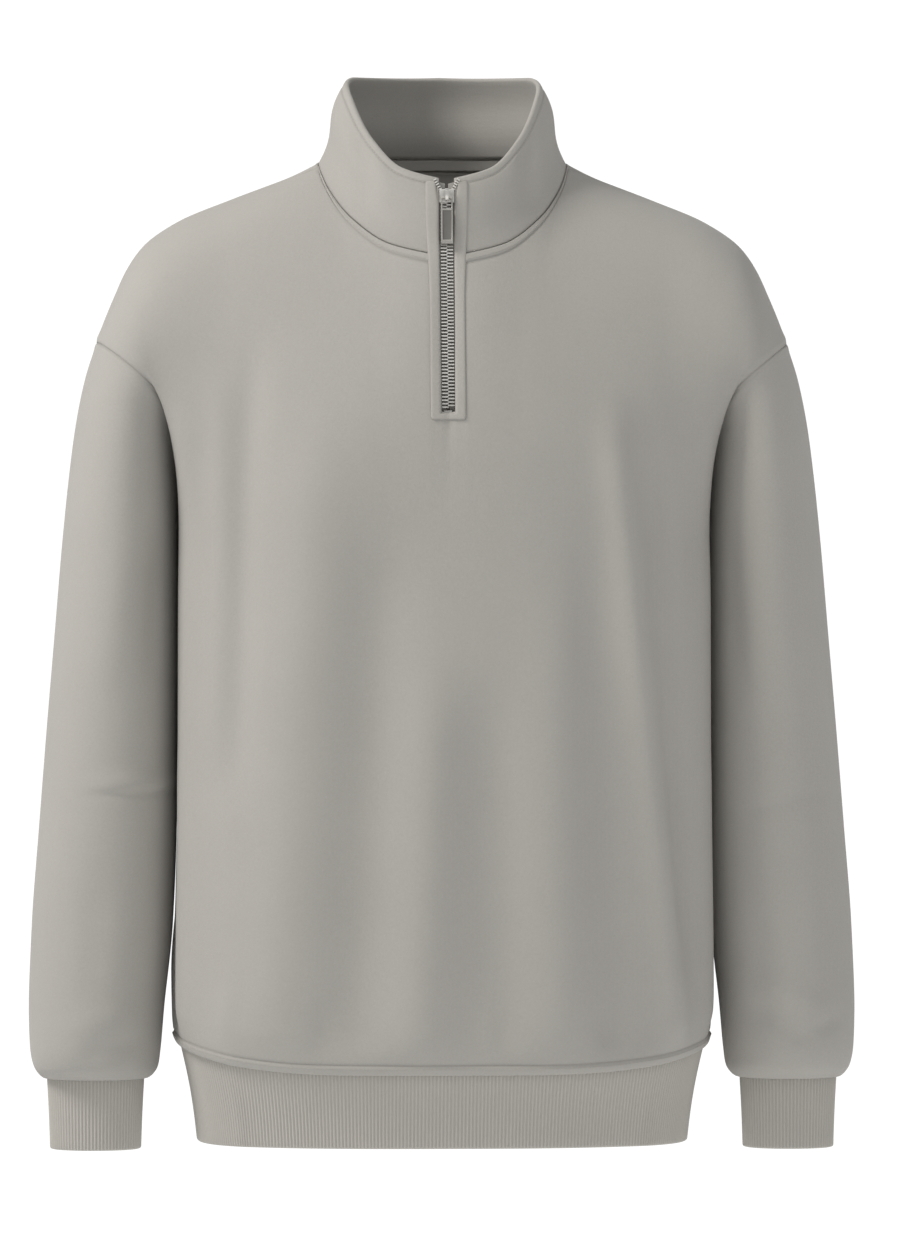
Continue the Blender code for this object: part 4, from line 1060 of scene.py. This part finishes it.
def on_zip(runs, xs):
    """Points and normals of the cloth beside the zip: one row for each run up from the slot's bottom."""
    heights = np.interp(runs, zip_run, zip_rows[:, beside_zip, 2])
    xs = np.broadcast_to(xs, (len(runs), np.shape(xs)[-1]))
    columns = range(zip_rows.shape[1])
    places = np.array([np.interp(heights, zip_rows[:, j, 2], zip_rows[:, j, 0]) for j in columns])
    found = []
    for grid in (zip_rows, zip_ways):
        level = np.array(
            [[np.interp(heights, zip_rows[:, j, 2], grid[:, j, k]) for k in range(3)] for j in columns]
        )
        made = [
            [np.interp(row, places[:, i], level[:, k, i]) for k in range(3)] for i, row in enumerate(xs)
        ]
        found.append(np.array(made).transpose(0, 2, 1))
    beyond = np.clip(np.asarray(runs) - ZIP_TOP, 0.0, None)[:, None, None]
    lean = unit(zip_rows[-1, beside_zip] - zip_rows[-3, beside_zip])
    return found[0] + beyond * lean, unit(found[1])


def rounded(share):
    return np.sqrt(1 - (1 - np.clip(share, 0.0, 1.0)) ** 2)


def corner(distance, radius):
    """How far an outline with a round corner stands back at a distance from the corner's end."""
    return radius * (1 - rounded(distance / radius))


strip_end = ZIP_TOP + 0.0009
near_end = np.array([0.0, 0.0002, 0.0005, 0.0009, 0.0014, 0.0020, 0.0028])
runs = np.concatenate(
    [
        PLACKET_LOW + near_end,
        [-0.0016, -0.0008, -0.0002],
        np.linspace(0.0006, strip_end - 0.0034, 90),
        strip_end - near_end[::-1],
    ]
)
rise = runs[:, None]
slot_edge = 0.0052 + 0.0021 * ease((rise - ZIP_TOP + 0.020) / 0.018) + corner(strip_end - rise, 0.0022)
strip_edge = 0.0127 + 0.0026 * ease((rise - 0.080) / 0.080) - corner(strip_end - rise, 0.0028)
strip_edge = strip_edge - corner(rise - PLACKET_LOW, 0.0024)
over_slot = np.array([0.0, 0.38, 0.77])
over_strip = np.array([0.0, 0.035, 0.085, 0.16, 0.30, 0.50, 0.70, 0.84, 0.92, 0.97, 1.0])
half_xs = np.concatenate([over_slot * slot_edge, slot_edge + (strip_edge - slot_edge) * over_strip], axis=1)
xs = np.concatenate([-half_xs[:, :0:-1], half_xs], axis=1)
points, normals = on_zip(runs, xs)
side = np.abs(xs)
from_outside = np.minimum(np.minimum(strip_edge - side, rise - PLACKET_LOW), strip_end - rise)
from_slot = np.where(rise < 0, np.hypot(np.maximum(side - slot_edge, 0.0), rise), side - slot_edge)
heights = PLACKET_STAND * rounded(from_outside / 0.0018 + 0.04)
heights = heights - 0.0020 * (1 - rounded(from_slot / 0.0016))
points = points + normals * heights[:, :, None]
# Painted shade in the groove along the strip's folded-under outer edge.
shade_marks = -0.0007 * (1 - ease(from_outside / 0.0007))
first_open = int(np.argmax(runs > -0.0003))


def in_zip_slot(centre, row):
    return row >= first_open and abs(centre.x) < (slot_edge[row, 0] + slot_edge[row + 1, 0]) / 2


placket = lay_cloth(
    "zip_placket_strip", points, shade_marks, points, jersey, xs, rise + 0 * xs, left_out=in_zip_slot
)
thicken(placket, 0.0010)
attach(placket, "garment")
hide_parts("zip_placket")

# ---------------------------------------------------------------- zip
# A coarse metal zip, closed up to its slider: two woven tapes, interlocked teeth, a stop at the bottom, and
# the slider just under the collar's edge. The last teeth above the slider lie open.

TOOTH_STEP = 0.00125
TOOTH_REACH = 0.0046
TOOTH_DEPTH = 0.0019
TOOTH_PROUD = 0.0006
OPEN_TEETH = 5
SLIDER_WIDENING = 1.2
EDGE_ROUNDING = 0.00018
SLIDER_PLACE = Vector((0.0, -0.100079, -0.0275))
ZIP_LEAN = 1.4273


def metal_material(name, colour, roughness, scratch):
    """Nickel plate: slightly uneven polish, with dull hairlines."""
    made, nodes, links, shader = new_finish(name)
    place = nodes.new("ShaderNodeTexCoord")
    stretch = nodes.new("ShaderNodeMapping")
    stretch.inputs["Scale"].default_value = scratch
    grain = nodes.new("ShaderNodeTexNoise")
    grain.inputs["Scale"].default_value = 260.0
    grain.inputs["Detail"].default_value = 3.0
    links.new(place.outputs["Object"], stretch.inputs["Vector"])
    links.new(stretch.outputs["Vector"], grain.inputs["Vector"])
    polish = nodes.new("ShaderNodeMapRange")
    polish.inputs["To Min"].default_value = roughness - 0.10
    polish.inputs["To Max"].default_value = roughness + 0.16
    links.new(grain.outputs["Fac"], polish.inputs["Value"])
    links.new(polish.outputs["Result"], shader.inputs["Roughness"])
    raise_grain(made, grain.outputs["Fac"], 0.15, 0.0001)
    dull = (colour[0] * 0.82, colour[1] * 0.81, colour[2] * 0.78, 1.0)
    links.new(tint_between(made, dull, colour, grain.outputs["Fac"]), shader.inputs["Base Color"])
    shader.inputs["Metallic"].default_value = 1.0
    return made


nickel = metal_material("nickel", (0.66, 0.648, 0.62, 1.0), 0.34, (1.0, 1.0, 1.0))
tape_twill = twill_material("zip_tape_twill", (0.40, 0.385, 0.355, 1.0), (0.3, 0.0, 0.5))
for node in ("zip_tape_left", "zip_tape_right"):
    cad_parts[node].data.materials[0] = tape_twill
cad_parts["zip_bottom_stop"].data.materials[0] = nickel

teeth = bmesh.new()


def add_tooth(run, x_from, x_to, tilt=0.0, lift=0.0):
    points, normals = on_zip(np.array([run, run + 0.001]), np.array([0.0]))
    up = Vector(points[1, 0] - points[0, 0]).normalized()
    out = Vector((0.0, normals[0, 0, 1], normals[0, 0, 2])).normalized()
    beside = Vector(((x_from + x_to) / 2, 0.0, 0.0))
    centre = Vector(points[0, 0]) + beside - out * (TOOTH_DEPTH / 2 - TOOTH_PROUD - lift)
    turn = Matrix((Vector((1.0, 0.0, 0.0)), up, out)).transposed().to_4x4()
    size = Matrix.Diagonal((abs(x_to - x_from), TOOTH_STEP * 0.94, TOOTH_DEPTH, 1.0))
    place = Matrix.Translation(centre) @ turn @ Matrix.Rotation(tilt, 4, "Z") @ size
    bmesh.ops.create_cube(teeth, size=1.0, matrix=place)


slider_run = float(np.interp(SLIDER_PLACE.z, zip_rows[:, beside_zip, 2], zip_run))
for index, run in enumerate(np.arange(0.0042, slider_run - 0.0035, TOOTH_STEP)):
    side = 1 if index % 2 else -1
    add_tooth(run, -side * 0.0003, side * TOOTH_REACH)
for share in np.linspace(0.0, 1.0, OPEN_TEETH):
    reach = 0.0034 + 0.0038 * share
    open_run = slider_run + 0.0050 + 0.0068 * share
    for side in (-1, 1):
        add_tooth(open_run, side * reach, side * (reach + 0.0024), -side * 0.50, 0.0008 + 0.0006 * share)
bmesh.ops.bevel(
    teeth, geom=list(teeth.edges), offset=0.00020, segments=1, profile=0.5, affect="EDGES", material=-1
)
zip_teeth = finished_piece("zip_teeth", teeth, nickel)
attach(zip_teeth, "garment")
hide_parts("zip_chain")


def round_and_finish(name, shape, clamped, *finishes):
    """A cast metal piece: its sharp edges rounded over, and its flat faces kept flat."""
    sharp = [e for e in shape.edges if e.is_manifold and e.calc_face_angle(0.0) > math.radians(30)]
    bmesh.ops.bevel(
        shape, geom=sharp, offset=EDGE_ROUNDING, segments=2, profile=0.5, affect="EDGES", material=-1,
        clamp_overlap=clamped,
    )
    made = finished_piece(name, shape, *finishes)
    made.data.shade_smooth()
    made.data.set_sharp_from_angle(angle=math.radians(40))
    return made


# The slider is its solid's own form, with its flat faces joined up, and a little wider.
shape = bmesh.new()
shape.from_mesh(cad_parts["slider"].data)
bmesh.ops.remove_doubles(shape, verts=shape.verts, dist=0.00001)
bmesh.ops.dissolve_limit(shape, angle_limit=math.radians(1.0), verts=shape.verts, edges=shape.edges)
bmesh.ops.recalc_face_normals(shape, faces=shape.faces)
slider = round_and_finish("zip_slider", shape, True, nickel)
for vert in slider.data.vertices:
    vert.co.x *= SLIDER_WIDENING
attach(slider, "garment")
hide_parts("slider")

# ---------------------------------------------------------------- pull tab
# A flat die-cast tab with a window that loops round the slider's bridge and a sunk panel below it. It hangs
# down over the closed teeth.

TAB_PIVOT = Vector((0.0, -0.103178, -0.028669))
TAB_XS = (-0.0043, -0.0032, 0.0032, 0.0043)
TAB_YS = (-0.0336, -0.0308, -0.0092, -0.0080, -0.0007, 0.0007)
TAB_THICKNESS = 0.0014

satin = metal_material("satin_nickel", (0.52, 0.505, 0.475, 1.0), 0.38, (1.0, 1.0, 0.08))
panel_grey = metal_material("tab_panel_grey", (0.15, 0.145, 0.134, 1.0), 0.60, (1.0, 1.0, 1.0))
panel_grey.node_tree.nodes["Principled BSDF"].inputs["Metallic"].default_value = 0.1

shape = bmesh.new()
bmesh.ops.create_grid(shape, x_segments=3, y_segments=5, size=1.0)
shape.verts.ensure_lookup_table()
for index, vert in enumerate(shape.verts):
    i, j = divmod(index, 4)
    vert.co = Vector((TAB_XS[j], TAB_YS[i], -TAB_THICKNESS / 2))


def in_tab_cell(face, row):
    """Whether a face lies between the rims, in one row of the tab's grid."""
    centre = face.calc_center_median()
    return abs(centre.x) < TAB_XS[2] / 2 and TAB_YS[row] < centre.y < TAB_YS[row + 1]


window = [face for face in shape.faces if in_tab_cell(face, 3)]
bmesh.ops.delete(shape, geom=window, context="FACES_ONLY")
flat_plate = list(shape.verts) + list(shape.edges) + list(shape.faces)
raised = bmesh.ops.extrude_face_region(shape, geom=flat_plate, use_keep_orig=True)["geom"]
raised = [item for item in raised if isinstance(item, bmesh.types.BMVert)]
bmesh.ops.translate(shape, vec=(0.0, 0.0, TAB_THICKNESS), verts=raised)
bmesh.ops.recalc_face_normals(shape, faces=shape.faces)
panel = [face for face in shape.faces if face.normal.z > 0.9 and in_tab_cell(face, 1)]
bmesh.ops.inset_region(shape, faces=panel, thickness=0.00015, depth=-0.0005)
for face in panel:
    face.material_index = 1
tab = round_and_finish("zip_pull_tab", shape, False, satin, panel_grey)
tab.data.transform(Matrix.Translation(TAB_PIVOT) @ Matrix.Rotation(ZIP_LEAN, 4, "X"))
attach(tab, "zip_pull")
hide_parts("pull_tab")

# ---------------------------------------------------------------- topstitching
# Sewing thread in the cloth's own colour, in even stitches: above the hem band, round the neck beside the
# collar's seam, and under the collar's edge.

STITCH_STEP = 0.0030
STITCH_INSET = 0.0017
THREAD_LIGHT = (0.46, 0.445, 0.41, 1.0)
THREAD_DARK = (0.37, 0.355, 0.325, 1.0)
thread = cloth_material("sewing_thread", THREAD_LIGHT, THREAD_DARK, 0.0004, 0.0004, 0.00010)
stitches = bmesh.new()


def sew(points, normals):
    """A row of stitches along a line of points on the cloth."""
    travelled = distance_along(points)
    for run in np.arange(STITCH_STEP / 2, travelled[-1], STITCH_STEP):
        centre = np.array([np.interp(run, travelled, points[:, k]) for k in range(3)])
        ahead = np.array([np.interp(run + 0.0008, travelled, points[:, k]) for k in range(3)]) - centre
        out = np.array([np.interp(run, travelled, normals[:, k]) for k in range(3)])
        if np.linalg.norm(ahead) < 1e-6:
            continue
        along = Vector(ahead).normalized()
        side = Vector(out).cross(along).normalized()
        turn = Matrix((along, side, along.cross(side))).transposed().to_4x4()
        size = Matrix.Diagonal((STITCH_STEP * 0.40, 0.00026, 0.00024, 1.0))
        place = Matrix.Translation(Vector(centre + out * 0.00008)) @ turn @ size
        bmesh.ops.create_uvsphere(stitches, u_segments=6, v_segments=4, radius=1.0, matrix=place)


for name in ("front", "back"):
    points, normals = forms[name]
    placed = points + normals * seam_heights[name][:, :, None]
    up = run_lengths(points, 0)
    hem_run = HEM_STRIP - STITCH_INSET
    sew(line_at(placed, up, hem_run), unit(line_at(normals, up, hem_run)))
    down = -to_far_edge(up, 0)
    by_neck = np.abs(front_places if name == "front" else back_places) <= NECK_PLACE
    reach = STITCH_INSET - NECK_STRIP
    line = line_at(placed[:, by_neck], down[:, by_neck], reach)
    way = unit(line_at(normals[:, by_neck], down[:, by_neck], reach))
    if name == "back":
        sew(line, way)
    else:
        for side in (line[:, 0] > PLACKET_HALF_WIDTH, line[:, 0] < -PLACKET_HALF_WIDTH):
            sew(line[side], way[side])
collar_up = run_lengths(collar_points, 0)
edge_run = -to_far_edge(collar_up, 0)
line = line_at(outer, edge_run, -COLLAR_STITCH_DROP)
way = unit(line_at(collar_normals, edge_run, -COLLAR_STITCH_DROP))
past_placket = int(np.argmin(np.abs(FRONT_PLACES - 2))) + 1
sewn = slice(past_placket, len(line) - past_placket + 1)
sew(line[sewn], way[sewn])
topstitching = finished_piece("topstitching", stitches, thread)
topstitching.data.shade_smooth()
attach(topstitching, "garment")
